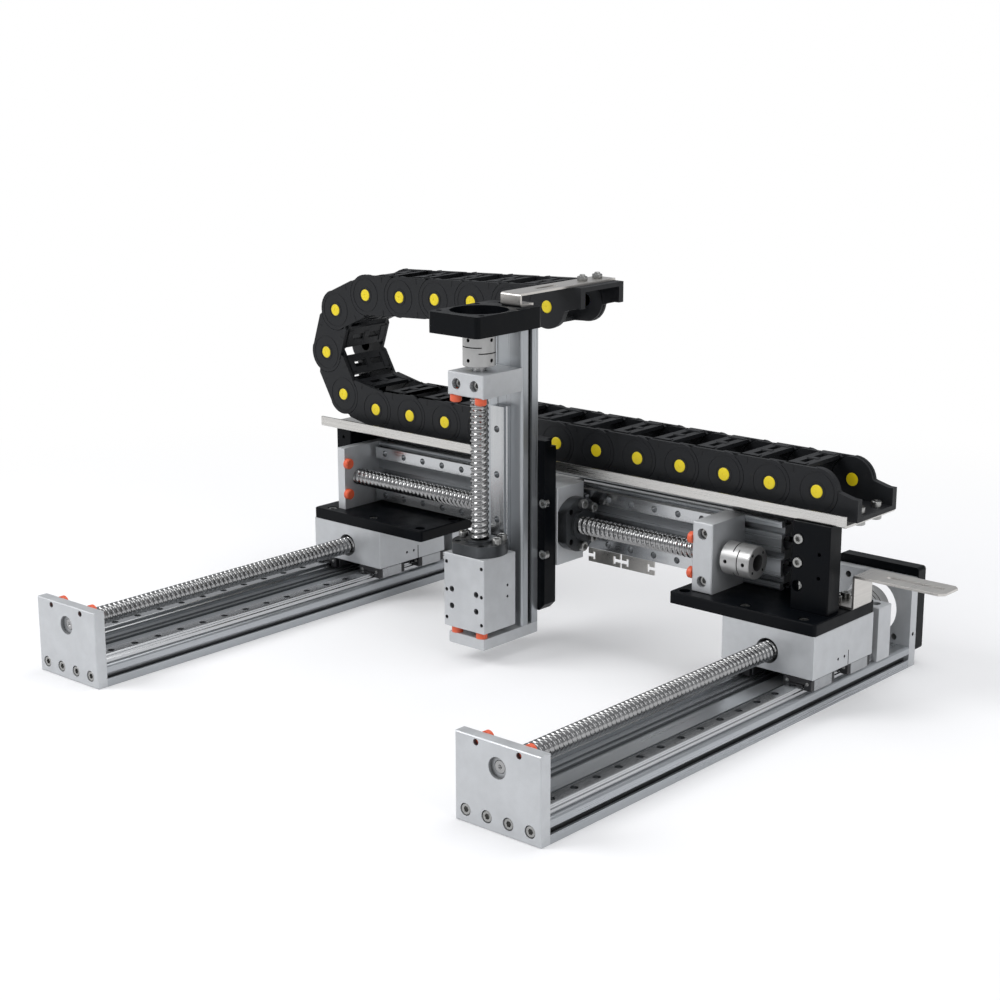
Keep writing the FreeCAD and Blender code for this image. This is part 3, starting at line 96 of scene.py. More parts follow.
def feed(tree, given, socket):
    """Link an input to an output, or give it a value."""
    if isinstance(given, bpy.types.NodeSocket):
        tree.links.new(given, socket)
    else:
        socket.default_value = given


def node(tree, kind, **inputs):
    n = tree.nodes.new(kind)
    for key, given in inputs.items():
        feed(tree, given, n.inputs[key.replace("_", " ")])
    return n


def mix(tree, kind, factor, a, b):
    n = tree.nodes.new("ShaderNodeMix")
    n.data_type = kind
    for key, given in (("Factor", factor), ("A", a), ("B", b)):
        feed(tree, given, n.inputs[key])
    return n.outputs["Result"]


def worked_out(tree, operation, *given):
    n = tree.nodes.new("ShaderNodeMath")
    n.operation = operation
    for value, socket in zip(given, n.inputs):
        feed(tree, value, socket)
    return n.outputs["Value"]


def noise(tree, vector, scale, detail, roughness):
    return node(tree, "ShaderNodeTexNoise", Vector=vector, Scale=scale, Detail=detail,
                Roughness=roughness).outputs["Fac"]


def color_ramp(tree, factor, *stops):
    """Colors at two places of the ramp, as (place, color) pairs."""
    n = node(tree, "ShaderNodeValToRGB", Fac=factor)
    for element, (place, color) in zip(n.color_ramp.elements, stops):
        element.position = place
        element.color = (*color, 1)
    return n.outputs["Color"]


def mix_shaders(tree, factor, a, b):
    n = node(tree, "ShaderNodeMixShader", Fac=factor)
    tree.links.new(a, n.inputs[1])
    tree.links.new(b, n.inputs[2])
    return n.outputs["Shader"]


def new_tree(owner, output_kind):
    """Empty node tree of a material or world, with its output node."""
    owner.use_nodes = True
    owner.node_tree.nodes.clear()
    return owner.node_tree, owner.node_tree.nodes.new(output_kind)


def surface(name, color, metallic, rough, stretch=(1, 1, 1), streak=0.0, rough_var=0.08,
            grain=2600.0, grain_bump=0.15, tint=0.12, coat=0.0, spec=0.5, edge=0.0, end_axis=None,
            hollow=0.0):
    """Metal or plastic with streaks along one way, fine grain and uneven roughness.

    edge and hollow are in millimetres: how wide edges look rounded, and how far painted shade reaches into
    hollows.
    """
    m = bpy.data.materials.new(name)
    t, out = new_tree(m, "ShaderNodeOutputMaterial")
    coords = t.nodes.new("ShaderNodeTexCoord")
    place = coords.outputs["Object"]
    stretched = node(t, "ShaderNodeMapping", Vector=place, Scale=stretch).outputs["Vector"]
    broad = noise(t, stretched, 60.0, 4.0, 0.6)
    lines = noise(t, stretched, 900.0, 3.0, 0.7)
    fine = noise(t, place, grain, 3.0, 0.7)
    pattern = mix(t, "FLOAT", streak, broad, lines)
    base = color_ramp(t, pattern, (0.3, [c * (1 - tint) for c in color]),
                      (0.7, [min(1.0, c * (1 + tint)) for c in color]))
    roughness = node(t, "ShaderNodeMapRange", Value=pattern, From_Min=0.3, From_Max=0.7,
                     To_Min=max(0.02, rough - rough_var), To_Max=rough + rough_var).outputs["Result"]
    if end_axis is not None:
        base, roughness = sawn_ends(t, coords, end_axis, base, roughness)
    # painted shade in bores, slots and counterbores
    if hollow:
        base = paint_hollow_shade(t, hollow, base)
    bump = node(t, "ShaderNodeBump", Strength=grain_bump, Distance=0.00008,
                Height=mix(t, "FLOAT", streak, fine, lines))
    if edge:
        soft = node(t, "ShaderNodeBevel", Radius=edge * MM)
        soft.samples = 4
        feed(t, soft.outputs["Normal"], bump.inputs["Normal"])
    bsdf = node(t, "ShaderNodeBsdfPrincipled", Base_Color=base, Metallic=metallic, Roughness=roughness,
                Specular_IOR_Level=spec, Coat_Weight=coat, Coat_Roughness=0.25,
                Normal=bump.outputs["Normal"])
    feed(t, bsdf.outputs["BSDF"], out.inputs["Surface"])
    return m


def paint_hollow_shade(t, reach_mm, color):
    """Painted shade: darker colour inside bores, slots and counterbores narrower than the reach, where shade
    falls.
    """
    open_sky = node(t, "ShaderNodeAmbientOcclusion", Distance=reach_mm * MM)
    open_sky.samples = 6
    open_sky.only_local = True
    openness = worked_out(t, "POWER", open_sky.outputs["AO"], 1.6)
    # the near-black colour is painted shade
    return mix(t, "RGBA", openness, (0.02, 0.02, 0.02, 1), color)


def sawn_ends(t, coords, axis, color, roughness):
    """Brighter, rougher finish where an extrusion was cut across its length."""
    parts = node(t, "ShaderNodeSeparateXYZ", Vector=coords.outputs["Normal"])
    is_end = worked_out(t, "GREATER_THAN", worked_out(t, "ABSOLUTE", parts.outputs[axis]), 0.9)
    return mix(t, "RGBA", is_end, color, (0.62, 0.63, 0.64, 1)), mix(t, "FLOAT", is_end, roughness, 0.6)


ALONG_X = (0.02, 1, 1)
ALONG_Y = (1, 0.02, 1)
ALONG_Z = (1, 1, 0.02)

# hollow=5 paints shade into the plates' holes and counterbores
silver = surface("plate_silver", (0.60, 0.615, 0.63), 0.5, 0.45, grain=3200, grain_bump=0.3, tint=0.07,
                 edge=0.35, hollow=5)


def extrusion(name, along, end_axis):
    """Anodised profile; end_axis is 0, 1 or 2 for X, Y or Z."""
    # hollow=5 paints shade into the profile's slots and cells
    return surface(name, (0.43, 0.45, 0.47), 0.7, 0.3, along, streak=0.3, grain_bump=0.08, tint=0.06,
                   edge=0.2, end_axis=end_axis, hollow=5)


def ground_rail(name, along):
    return surface(name, (0.50, 0.51, 0.52), 1.0, 0.2, along, streak=0.6, grain_bump=0.12, tint=0.1)


profile_y = extrusion("profile_y", ALONG_Y, 1)
profile_x = extrusion("profile_x", ALONG_X, 0)
profile_z = extrusion("profile_z", ALONG_Z, 2)
rail_y = ground_rail("rail_y", ALONG_Y)
rail_x = ground_rail("rail_x", ALONG_X)
rail_z = ground_rail("rail_z", ALONG_Z)
thread_steel = surface("thread_steel", (0.35, 0.35, 0.35), 1.0, 0.2, grain_bump=0.1, tint=0.12)
block_steel = surface("block_steel", (0.36, 0.37, 0.38), 1.0, 0.3, grain_bump=0.2)
nut_steel = surface("nut_steel", (0.085, 0.09, 0.095), 0.9, 0.34, grain_bump=0.2, edge=0.4)
# hollow=22 paints shade into the coupling's bore and slits
coupling_mat = surface("coupling_silver", (0.46, 0.46, 0.455), 0.6, 0.38, grain_bump=0.2, tint=0.06,
                       edge=0.25, hollow=22)
red_rubber = surface("bumper_red", (0.84, 0.13, 0.05), 0.0, 0.45, grain_bump=0.1, tint=0.1, coat=0.1)
black = surface("plate_black", (0.0016, 0.0024, 0.0038), 0.0, 0.4, grain=3600, grain_bump=0.2, tint=0.25,
                spec=0.1, edge=0.5)
tray_mat = surface("tray_brushed", (0.60, 0.59, 0.57), 0.95, 0.3, ALONG_X, streak=0.8, grain_bump=0.3,
                   tint=0.14, edge=0.2)
stainless = surface("sheet_stainless", (0.62, 0.60, 0.57), 0.9, 0.32, ALONG_Y, streak=0.6, grain_bump=0.2,
                    edge=0.25)
chain_mat = surface("chain_plastic", (0.009, 0.010, 0.012), 0.0, 0.5, grain=2400, grain_bump=0.3, tint=0.2,
                    spec=0.3)
yellow = surface("cap_yellow", (0.95, 0.74, 0.012), 0.0, 0.38, grain_bump=0.1, tint=0.06)
screw_mat = surface("screw_bright", (0.36, 0.36, 0.35), 1.0, 0.3, grain_bump=0.1)
dark_plastic = surface("block_cap_black", (0.016, 0.016, 0.018), 0.0, 0.42, grain_bump=0.25, tint=0.2)

finish = {
    "plate_silver": silver, "block_steel": block_steel, "screw_steel": thread_steel, "nut_steel": nut_steel,
    "coupling_silver": coupling_mat, "bumper_red": red_rubber, "plate_black": black,
    "tray_brushed": tray_mat, "sheet_stainless": stainless, "chain_plastic": chain_mat,
    "cap_yellow": yellow, "screw_bright": screw_mat, "profile_aluminium": profile_y, "rail_steel": rail_y,
}
by_node = {"x_beam": profile_x, "z_column": profile_z, "x_rails": rail_x, "z_rail": rail_z}
slot_of = {s["node"]: s["material_slot"] for s in frame["record"]["subparts"]}


def shading_nodes():
    """Geometry nodes that shade smooth over small turns and sharp over wide ones."""
    tree = bpy.data.node_groups.new("shade_by_angle", "GeometryNodeTree")
    tree.interface.new_socket("Geometry", in_out="INPUT", socket_type="NodeSocketGeometry")
    tree.interface.new_socket("Geometry", in_out="OUTPUT", socket_type="NodeSocketGeometry")
    start = tree.nodes.new("NodeGroupInput")
    end = tree.nodes.new("NodeGroupOutput")
    angle = tree.nodes.new("GeometryNodeInputMeshEdgeAngle")
    wide = tree.nodes.new("FunctionNodeCompare")
    wide.data_type = "FLOAT"
    wide.operation = "GREATER_THAN"
    wide.inputs["B"].default_value = math.radians(20)
    normal = tree.nodes.new("GeometryNodeSetMeshNormal")
    normal.mode = "SHARPNESS"
    tree.links.new(start.outputs[0], normal.inputs["Mesh"])
    tree.links.new(angle.outputs["Unsigned Angle"], wide.inputs["A"])
    tree.links.new(wide.outputs["Result"], normal.inputs["Edge Sharpness"])
    tree.links.new(normal.outputs["Mesh"], end.inputs[0])
    return tree


shading = shading_nodes()


def bevel(obj, width_mm):
    b = obj.modifiers.new("edge", "BEVEL")
    b.width = width_mm * MM
    b.segments = 2
    b.limit_method = "ANGLE"
    b.angle_limit = math.radians(40)
    shade = obj.modifiers.new("shade", "NODES")
    shade.node_group = shading


for name, obj in frame["nodes"].items():
    for slot in obj.material_slots:
        slot.link = "OBJECT"
        slot.material = by_node.get(name, finish[slot_of[name]])


# Building pieces in mesh code

class Shape:
    """A mesh drawn in millimetres of some frame, then placed and given to a body."""

    def __init__(self):
        self.verts = []
        self.faces = []

    def add(self, verts, faces):
        base = len(self.verts)
        self.verts += verts
        self.faces += [[base + i for i in f] for f in faces]

    def prism(self, outline, y0, y1, at_point=(0, 0)):
        """Outline in the XZ plane, drawn along Y."""
        n = len(outline)
        ox, oz = at_point
        low = [(ox + x, y0, oz + z) for x, z in outline]
        high = [(ox + x, y1, oz + z) for x, z in outline]
        area = sum(outline[i][0] * outline[(i + 1) % n][1] - outline[(i + 1) % n][0] * outline[i][1]
                   for i in range(n))
        ring = list(range(n) if area > 0 else range(n - 1, -1, -1))
        faces = [ring, [n + i for i in reversed(ring)]]
        for k in range(n):
            a, b = ring[k], ring[(k + 1) % n]
            faces.append([b, a, n + a, n + b])
        self.add(low + high, faces)

    def block(self, x0, x1, y0, y1, z0, z1):
        self.prism([(x0, z0), (x1, z0), (x1, z1), (x0, z1)], y0, y1)

    def rings(self, verts, n):
        """Closed body through rings that have n corners each."""
        faces = []
        for start in range(0, len(verts) - n, n):
            for j in range(n):
                a, b = start + j, start + (j + 1) % n
                faces.append([a, a + n, b + n, b])
        faces.append(list(range(n)))
        faces.append(list(range(len(verts) - 1, len(verts) - 1 - n, -1)))
        self.add(verts, faces)

    def lathe(self, profile, centre, n):
        """(radius, along) pairs turned about Y at centre, with n corners round."""
        verts = []
        for r, a in profile:
            for j in range(n):
                angle = 2 * math.pi * j / n
                verts.append((centre[0] + r * math.sin(angle), centre[1] + a,
                              centre[2] + r * math.cos(angle)))
        self.rings(verts, n)

    def place(self, name, matrix, material, body, slot=None, smooth=False, edge=0.0, replaces=()):
        mesh = bpy.data.meshes.new(name)
        mesh.from_pydata([Vector(v) * MM for v in self.verts], [], self.faces)
        mesh.validate()
        bm = bmesh.new()
        bm.from_mesh(mesh)
        bmesh.ops.recalc_face_normals(bm, faces=bm.faces)
        bm.to_mesh(mesh)
        bm.free()
        mesh.materials.append(material)
        if smooth:
            mesh.set_sharp_from_angle(angle=math.radians(35))
            mesh.polygons.foreach_set("use_smooth", [True] * len(mesh.polygons))
        return put(name, mesh, matrix, body, edge, replaces)


def put(name, mesh, matrix, body, edge=0.0, replaces=()):
    obj = bpy.data.objects.new(name, mesh)
    bpy.context.scene.collection.objects.link(obj)
    obj.matrix_world = matrix
    bpy.context.view_layer.update()
    if edge:
        bevel(obj, edge)
    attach(obj, body)
    if replaces:
        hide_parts(*replaces)
    return obj


def frame_matrix(x_axis, y_axis, z_axis, origin):
    m = Matrix((x_axis, y_axis, z_axis)).transposed().to_4x4()
    m.translation = origin
    return m


def floor_place(x):
    return frame_matrix((1, 0, 0), (0, 1, 0), (0, 0, 1), at(x, 0, 0))


beam_place = frame_matrix((0, 0, -1), (1, 0, 0), (0, -1, 0), at(X_START, X_BACK_Y, X_AXIS_Z))
tool_place = frame_matrix((1, 0, 0), (0, 0, 1), (0, -1, 0), at(Z_AXIS_X, Z_BACK_Y, Z_BOTTOM))


# Ball screws with their thread

LEAD = 5.0
SCREW_R = 8.0
JOURNAL_R = 5.0
BEARING_R = 6.0
GROOVE_DEPTH = 1.15
THREAD_END_R = 7.1
THREAD_RELIEF = 0.5         # from the thread to the end plate and the bearing block
RECESS = 3.0                # of the screw's end in the end plate
CHAMFER = 0.5
CENTRE_HOLE_R = 1.7
CENTRE_HOLE_DEEP = 1.6
CORNERS_ROUND = 40
STEPS_PER_TURN = 10


def groove(phase):
    """Depth share of the round ball groove at a phase from 0 to 1 of the lead.

    A screw's profile has None for the radius where this groove sets it.
    """
    off = abs(phase - 0.5) / 0.36
    return math.sqrt(1 - off * off) if off < 1 else 0.0


def ball_screw(name, node_name, matrix, height, bearing_at):
    """Screw with a centre hole, its journals, its shaft for the coupling and its thread."""
    thread0 = END_PLATE_T + THREAD_RELIEF
    thread1 = bearing_at - THREAD_RELIEF
    coupling_at = bearing_at + BEARING_BLOCK_T + COUPLING_GAP
    shoulder = coupling_at - 0.2
    tip = coupling_at + SHAFT_IN_COUPLING
    profile = [(0.4, RECESS + CENTRE_HOLE_DEEP), (CENTRE_HOLE_R, RECESS + 0.02),
               (JOURNAL_R - CHAMFER, RECESS), (JOURNAL_R, RECESS + CHAMFER), (JOURNAL_R, thread0),
               (THREAD_END_R, thread0)]
    count = int((thread1 - thread0) / LEAD * STEPS_PER_TURN)
    profile += [(None, thread0 + i * (thread1 - thread0) / count) for i in range(1, count)]
    profile += [(THREAD_END_R, thread1), (BEARING_R, thread1), (BEARING_R, shoulder),
                (JOURNAL_R, shoulder), (JOURNAL_R, tip - CHAMFER), (JOURNAL_R - CHAMFER, tip)]
    verts = []
    for r, a in profile:
        for j in range(CORNERS_ROUND):
            turn = j / CORNERS_ROUND
            angle = 2 * math.pi * turn
            radius = SCREW_R - GROOVE_DEPTH * groove((a / LEAD - turn) % 1.0) if r is None else r
            verts.append((radius * math.sin(angle), a, height + radius * math.cos(angle)))
    shape = Shape()
    shape.rings(verts, CORNERS_ROUND)
    shape.place(name, matrix, thread_steel, node_name, "screw_steel", smooth=True, replaces=(node_name,))


ball_screw("y_left_thread", "y_left_screw", floor_place(Y_AXES[0]), SCREW_H, Y_BEARING_AT)
ball_screw("y_right_thread", "y_right_screw", floor_place(Y_AXES[1]), SCREW_H, Y_BEARING_AT)
ball_screw("x_thread", "x_screw", beam_place, SCREW_H, X_BEARING_AT)
ball_screw("z_thread", "z_screw", tool_place, TOOL_SCREW_H, Z_BEARING_AT)


# Cap screws with their hexagon sockets, at the places of the plain ones

HEAD_D = 8.5
HEAD_LEN = 5.0
SHANK_R = 2.5
SOCKET_ACROSS = 4.0
SOCKET_DEEP = 2.6
SOCKET_RIM_R = 2.6
NUT_ACROSS = 8.0
NUT_LEN = 4.0
STUD_PAST_NUT = 1.5
EDGE_ROUND = 0.3            # of shanks and nuts


def loose_pieces(obj):
    """Corner places of each separate solid of a node, in millimetres of the row frame."""
    number = {}
    owner = [number.setdefault(tuple(round(c * 1e6) for c in v.co), len(number)) for v in obj.data.vertices]
    parent = list(range(len(number)))

    def root(a):
        while parent[a] != a:
            parent[a] = parent[parent[a]]
            a = parent[a]
        return a

    for e in obj.data.edges:
        parent[root(owner[e.vertices[0]])] = root(owner[e.vertices[1]])
    pieces = {}
    for v in obj.data.vertices:
        pieces.setdefault(root(owner[v.index]), []).append(obj.matrix_world @ v.co / MM)
    return list(pieces.values())


def end_radius(corners, middle, way, end):
    """Widest reach from the axis among the corners at one end of a screw."""
    axis = max(range(3), key=lambda i: abs(way[i]))
    reach = [(c - middle).length_squared - (c - middle).dot(way) ** 2
             for c in corners if abs(c[axis] - end) < 0.01]
    return math.sqrt(max(reach + [0.0]))


def hexagon(across):
    """Radius of a hexagon at an angle."""
    return lambda angle: across / 2 / math.cos((angle + math.pi / 6) % (math.pi / 3) - math.pi / 6)


def turned(s, rings, origin, way):
    """Closed body of rings round an axis; a ring's radius may follow the angle."""
    count = 24
    side = Vector((0, 0, 1)) if abs(way.z) < 0.5 else Vector((1, 0, 0))
    other = way.cross(side)
    verts = []
    for radius, along in rings:
        for j in range(count):
            angle = 2 * math.pi * j / count
            r = radius(angle) if callable(radius) else radius
            out = side * math.cos(angle) + other * math.sin(angle)
            verts.append(tuple(origin + way * along + out * r))
    s.rings(verts, count)


def screw_piece(s, corners):
    """One screw of the shared nodes: a cap screw, or a stud with its hexagon nut."""
    low = Vector([min(c[i] for c in corners) for i in range(3)])
    high = Vector([max(c[i] for c in corners) for i in range(3)])
    size = high - low
    middle = (low + high) / 2
    has_nut = max(size.x, size.y) > HEAD_D + 0.5 and size.z > HEAD_D
    has_head = not has_nut or size.y > NUT_ACROSS + 0.2
    axis = 2 if has_nut else max(range(3), key=lambda i: abs(size[i] - HEAD_D))
    way = Vector([1.0 if i == axis else 0.0 for i in range(3)])
    low_r, high_r = (end_radius(corners, middle, way, end) for end in (low[axis], high[axis]))
    if low_r > high_r and not has_nut:
        way = -way
    head = HEAD_D / 2
    length = size[axis]
    foot = middle - way * length / 2
    if has_head:
        seat = length - HEAD_LEN
        socket = hexagon(SOCKET_ACROSS)
        rings = [(SHANK_R - EDGE_ROUND, 0.0), (SHANK_R, EDGE_ROUND), (SHANK_R, seat), (head - 0.15, seat)]
        rings += [(head, seat + 0.15), (head, length - 0.45), (head - 0.4, length)]
        rings += [(SOCKET_RIM_R, length), (socket, length - 0.2), (socket, length - SOCKET_DEEP)]
    else:
        rings = [(SHANK_R, 0.0), (SHANK_R, length - EDGE_ROUND), (SHANK_R - EDGE_ROUND, length)]
    turned(s, rings, foot, way)
    if has_nut:
        start = 0.0 if has_head else length - STUD_PAST_NUT - NUT_LEN
        end = start + NUT_LEN
        flat = hexagon(NUT_ACROSS)
        rim = NUT_ACROSS / 2 - 0.1
        turned(s, [(rim, start), (flat, start + EDGE_ROUND), (flat, end - EDGE_ROUND), (rim, end)],
               foot, way)


for node_name, body in (("screws_floor", "base"), ("screws_bridge", "bridge"),
                        ("screws_cross", "cross_slide"), ("screws_tool", "tool_slide")):
    heads = Shape()
    for corners in loose_pieces(frame["nodes"][node_name]):
        screw_piece(heads, corners)
    heads.place(node_name + "_sockets", Matrix.Identity(4), screw_mat, body, "screw_bright", smooth=True,
                replaces=(node_name,))


# Guide blocks: steel runner, black end caps with their screws

RAIL_GAP = 0.3              # between a block and its rail
CAP_T = 4.5
CAP_INSET = 0.4             # how much smaller an end cap is than its block
CAP_SCREW_R = 1.5
BLOCK_MARGIN = 0.3          # from a floor carriage's ends to its blocks

# Each kind of block: deck under the rail, rail's width and height, block's width, top and underside
SMALL_BLOCK = (19.0, 12.0, 8.0, 27.0, 13.0, 3.0)
LARGE_BLOCK = (21.0, 15.0, 10.0, 32.0, 16.0, 4.0)
Y_BLOCK_LEN = 34.7
X_BLOCK_LEN = 45.4
Z_BLOCK_LEN = 58.8


def block_outline(width, top, under, rail_half, rail_top, inset):
    half = width / 2 - inset
    high = top - inset
    low = under + inset
    c = 1.0
    return [(-half, low), (-rail_half, low), (-rail_half, rail_top), (rail_half, rail_top), (rail_half, low),
            (half, low), (half, high - c), (half - c, high), (-half + c, high), (-half, high - c)]


def guide_block_pieces(prefix, node_name, body, places, length, kind):
    """places holds (matrix, c, start) of each block of one node."""
    deck, rail_w, rail_h, width, top, under = kind
    inner = (rail_w / 2 + RAIL_GAP, rail_h + RAIL_GAP)
    for i, (matrix, c, start) in enumerate(places):
        runner = Shape()
        caps = Shape()
        heads = Shape()
        runner.prism(block_outline(width, top, under, *inner, 0.0), start + CAP_T, start + length - CAP_T,
                     (c, deck))
        for a in (start, start + length - CAP_T):
            caps.prism(block_outline(width, top, under, *inner, CAP_INSET), a, a + CAP_T, (c, deck))
        for side in (-1, 1):
            for a, sign in ((start, -1), (start + length, 1)):
                profile = [(CAP_SCREW_R, a - sign * 0.3), (CAP_SCREW_R, a + sign * 0.2),
                           (CAP_SCREW_R - 0.3, a + sign * 0.35)]
                heads.lathe(profile, (c + side * (width / 2 - 4.2), 0, deck + top - 4.0), 14)
        runner.place(f"{prefix}_runner_{i}", matrix, block_steel, body, "block_steel", edge=0.3,
                     replaces=() if i else (node_name,))
        caps.place(f"{prefix}_caps_{i}", matrix, dark_plastic, body, "chain_plastic", edge=0.35)
        heads.place(f"{prefix}_heads_{i}", matrix, screw_mat, body, "screw_bright", smooth=True)


y_starts = (Y_CARRIAGE_AT + BLOCK_MARGIN, Y_CARRIAGE_AT + Y_CARRIAGE_LEN - BLOCK_MARGIN - Y_BLOCK_LEN)
y_blocks = [(floor_place(x), c, start) for x in Y_AXES for c in (-Y_RAIL_OFFSET, Y_RAIL_OFFSET)
            for start in y_starts]
guide_block_pieces("y_block", "y_guide_blocks", "bridge", y_blocks, Y_BLOCK_LEN, SMALL_BLOCK)
x_blocks = [(beam_place, c, X_CARRIAGE_AT + (X_CARRIAGE_LEN - X_BLOCK_LEN) / 2)
            for c in (-X_RAIL_OFFSET, X_RAIL_OFFSET)]
guide_block_pieces("x_block", "x_guide_blocks", "cross_slide", x_blocks, X_BLOCK_LEN, SMALL_BLOCK)
z_blocks = [(tool_place, 0.0, Z_CARRIAGE_AT + (Z_CARRIAGE_LEN - Z_BLOCK_LEN) / 2)]
guide_block_pieces("z_block", "z_guide_block", "tool_slide", z_blocks, Z_BLOCK_LEN, LARGE_BLOCK)


# Drag chain

PITCH = 45.0
LINK_R = 19.5
CHAIN_FRONT = 372.5
CHAIN_W = 60.0
PIVOT_Z = 173.8
FIXED_X = 253.7
LOWER_LINKS = 11
LOOP_TURNS = (12, 60, 108, 156)
UPPER_LINKS = 5
UPPER_SLOPE = 2.86
NEST_GAP = 0.12             # how much smaller a nested link is drawn
LUG_T = 3.0
CHEEK_T = 6.3               # outer and inner lug together
HUB_GAP = 0.4               # from a round hub to the hollow seat round it
WEB_INSET = 0.6             # cheeks are this much lower than the outer hubs
INNER_HUB_STEP = 0.4        # inner hubs are this much smaller
TIP_LEN = 13.0              # cheek tips are cut back, so that links can turn
TIP_FLAT = 10.4
TIP_CHAMFER = 1.8
HUB_RINGS = ((15.6, 16.3), (7.2, 8.0))
MARKS = ((13.0, 18.2), (-18.2, -13.0))
MARK_HALF = 0.4
BAR_T = 3.5
BAR_LEN = 20.0
BAR_SIDE = 3.2              # where a bar starts, inside the lugs
WINDOW_W = 6.0              # a bar's two openings
WINDOW_LEN = 14.0
WINDOWS = (12.0, 34.0)
PADS = (5.0, 49.0)          # low pads on a bar, beside a narrower one in its middle
PAD_LEN = 6.0
MIDDLE_PAD = (27.5, 32.5)
PIN_R = 5.5
PIN_FACE = 0.6              # how far pins stand proud


def pivots():
    """Pivots along the tray, round the loop and up the slight slope of the upper run."""
    points = [(FIXED_X - i * PITCH, PIVOT_Z) for i in range(LOWER_LINKS + 1)]
    for angle in [180 - turn for turn in LOOP_TURNS] + [UPPER_SLOPE] * UPPER_LINKS:
        x, z = points[-1]
        points.append((x + PITCH * math.cos(math.radians(angle)), z + PITCH * math.sin(math.radians(angle))))
    return points


def arc(cx, cz, r, a0, a1, steps):
    return [(cx + r * math.cos(math.radians(a0 + (a1 - a0) * i / steps)),
             cz + r * math.sin(math.radians(a0 + (a1 - a0) * i / steps))) for i in range(steps + 1)]


def cheek(hub_r, hub_at_start):
    """Side of a link: round hub at one pivot, hollow seat at the other."""
    tall = LINK_R - WEB_INSET
    tip = tall - TIP_CHAMFER
    seat = LINK_R + HUB_GAP
    tip_angle = math.degrees(math.asin(tip / seat))
    points = arc(0, 0, hub_r, 90, 270, 18)
    points += [(0, -tall), (PITCH - TIP_LEN, -tall), (PITCH - TIP_FLAT, -tip)]
    points += arc(PITCH, 0, seat, 180 + tip_angle, 180 - tip_angle, 12)
    points += [(PITCH - TIP_FLAT, tip), (PITCH - TIP_LEN, tall), (0, tall)]
    if hub_at_start:
        return points
    return [(PITCH - x, z) for x, z in points][::-1]


def link_side(s, k, depths):
    """Lugs, raised rings and marks of one side; depths counts from that side of the link."""
    s.prism(cheek(LINK_R - k, True), *depths(k, LUG_T))
    s.prism(cheek(LINK_R - INNER_HUB_STEP - k, False), *depths(LUG_T + 0.05, CHEEK_T - k))
    for r0, r1 in HUB_RINGS:
        ring_band(s, r0, r1, *depths(-0.3 + k, 0.1 + k))
    for z0, z1 in MARKS:
        s.block(PITCH / 2 - MARK_HALF, PITCH / 2 + MARK_HALF, *depths(-0.25 + k, 0.1 + k), z0, z1)


def pad(s, margin, y0, y1, edge, rise):
    """Low pad on a bar's outer face at height edge; rise is negative for the lower bar."""
    x0, x1 = (PITCH - BAR_LEN) / 2 + margin, (PITCH + BAR_LEN) / 2 - margin
    s.block(x0, x1, y0, y1, *sorted((edge - math.copysign(0.2, rise), edge + rise)))


def link_bar(s, z0, z1):
    """Bar between the sides, with two openings; the ribs beside them are slightly thinner."""
    x0, x1 = (PITCH - BAR_LEN) / 2, (PITCH + BAR_LEN) / 2
    rib = (BAR_LEN - WINDOW_W) / 2
    near, far = WINDOWS
    for y0, y1 in ((BAR_SIDE, near), (near + WINDOW_LEN, far), (far + WINDOW_LEN, CHAIN_W - BAR_SIDE)):
        s.block(x0, x1, y0, y1, z0, z1)
    for y0 in WINDOWS:
        for a, b in ((x0, x0 + rib), (x1 - rib, x1)):
            s.block(a, b, y0 - 0.05, y0 + WINDOW_LEN + 0.05, z0 + 0.05, z1 - 0.05)
    edge, outward = (z1, 1) if z0 > 0 else (z0, -1)
    for y0 in PADS:
        pad(s, 2.5, y0, y0 + PAD_LEN, edge, 0.5 * outward)
    pad(s, 5.0, *MIDDLE_PAD, edge, 0.35 * outward)


def link_shape(k):
    """One link; k draws it slightly smaller, for links that nest in others."""
    s = Shape()
    link_side(s, k, lambda y0, y1: (y0, y1))
    link_side(s, k, lambda y0, y1: (CHAIN_W - y1, CHAIN_W - y0))
    tall = LINK_R - WEB_INSET - k
    link_bar(s, -tall, -tall + BAR_T)
    link_bar(s, tall - BAR_T, tall)
    return s


def ring_band(s, r0, r1, y0, y1):
    """Raised ring round the pivot at the link's start."""
    n = 40
    verts = []
    for r, y in ((r0, y0), (r1, y0), (r1, y1), (r0, y1)):
        verts += [(r * math.sin(2 * math.pi * j / n), y, r * math.cos(2 * math.pi * j / n)) for j in range(n)]
    faces = []
    for k in range(4):
        for j in range(n):
            a, b = k * n + j, k * n + (j + 1) % n
            c, d = ((k + 1) % 4) * n + (j + 1) % n, ((k + 1) % 4) * n + j
            faces.append([a, b, c, d])
    s.add(verts, faces)


def cap_shape(k):
    """Pivot pins on both sides: a disc with a slightly domed face and a dimple."""
    s = Shape()
    out = PIN_FACE - k
    outer = [(0.9, -out + 0.25), (1.1, -out), (PIN_R - 0.5, -out + 0.1), (PIN_R, -out + 0.5),
             (PIN_R, CHEEK_T)]
    s.lathe(outer, (0, 0, 0), 36)
    s.lathe([(radius, CHAIN_W - a) for radius, a in outer], (0, 0, 0), 36)
    return s


pivot_places = [at(x, CHAIN_FRONT, z) for x, z in pivots()]


def link_matrix(i):
    """Place of link i, from its own pivot towards the next."""
    way = (pivot_places[i + 1] - pivot_places[i]).normalized()
    return frame_matrix(way, (0, 1, 0), (-way.z, 0, way.x), pivot_places[i])


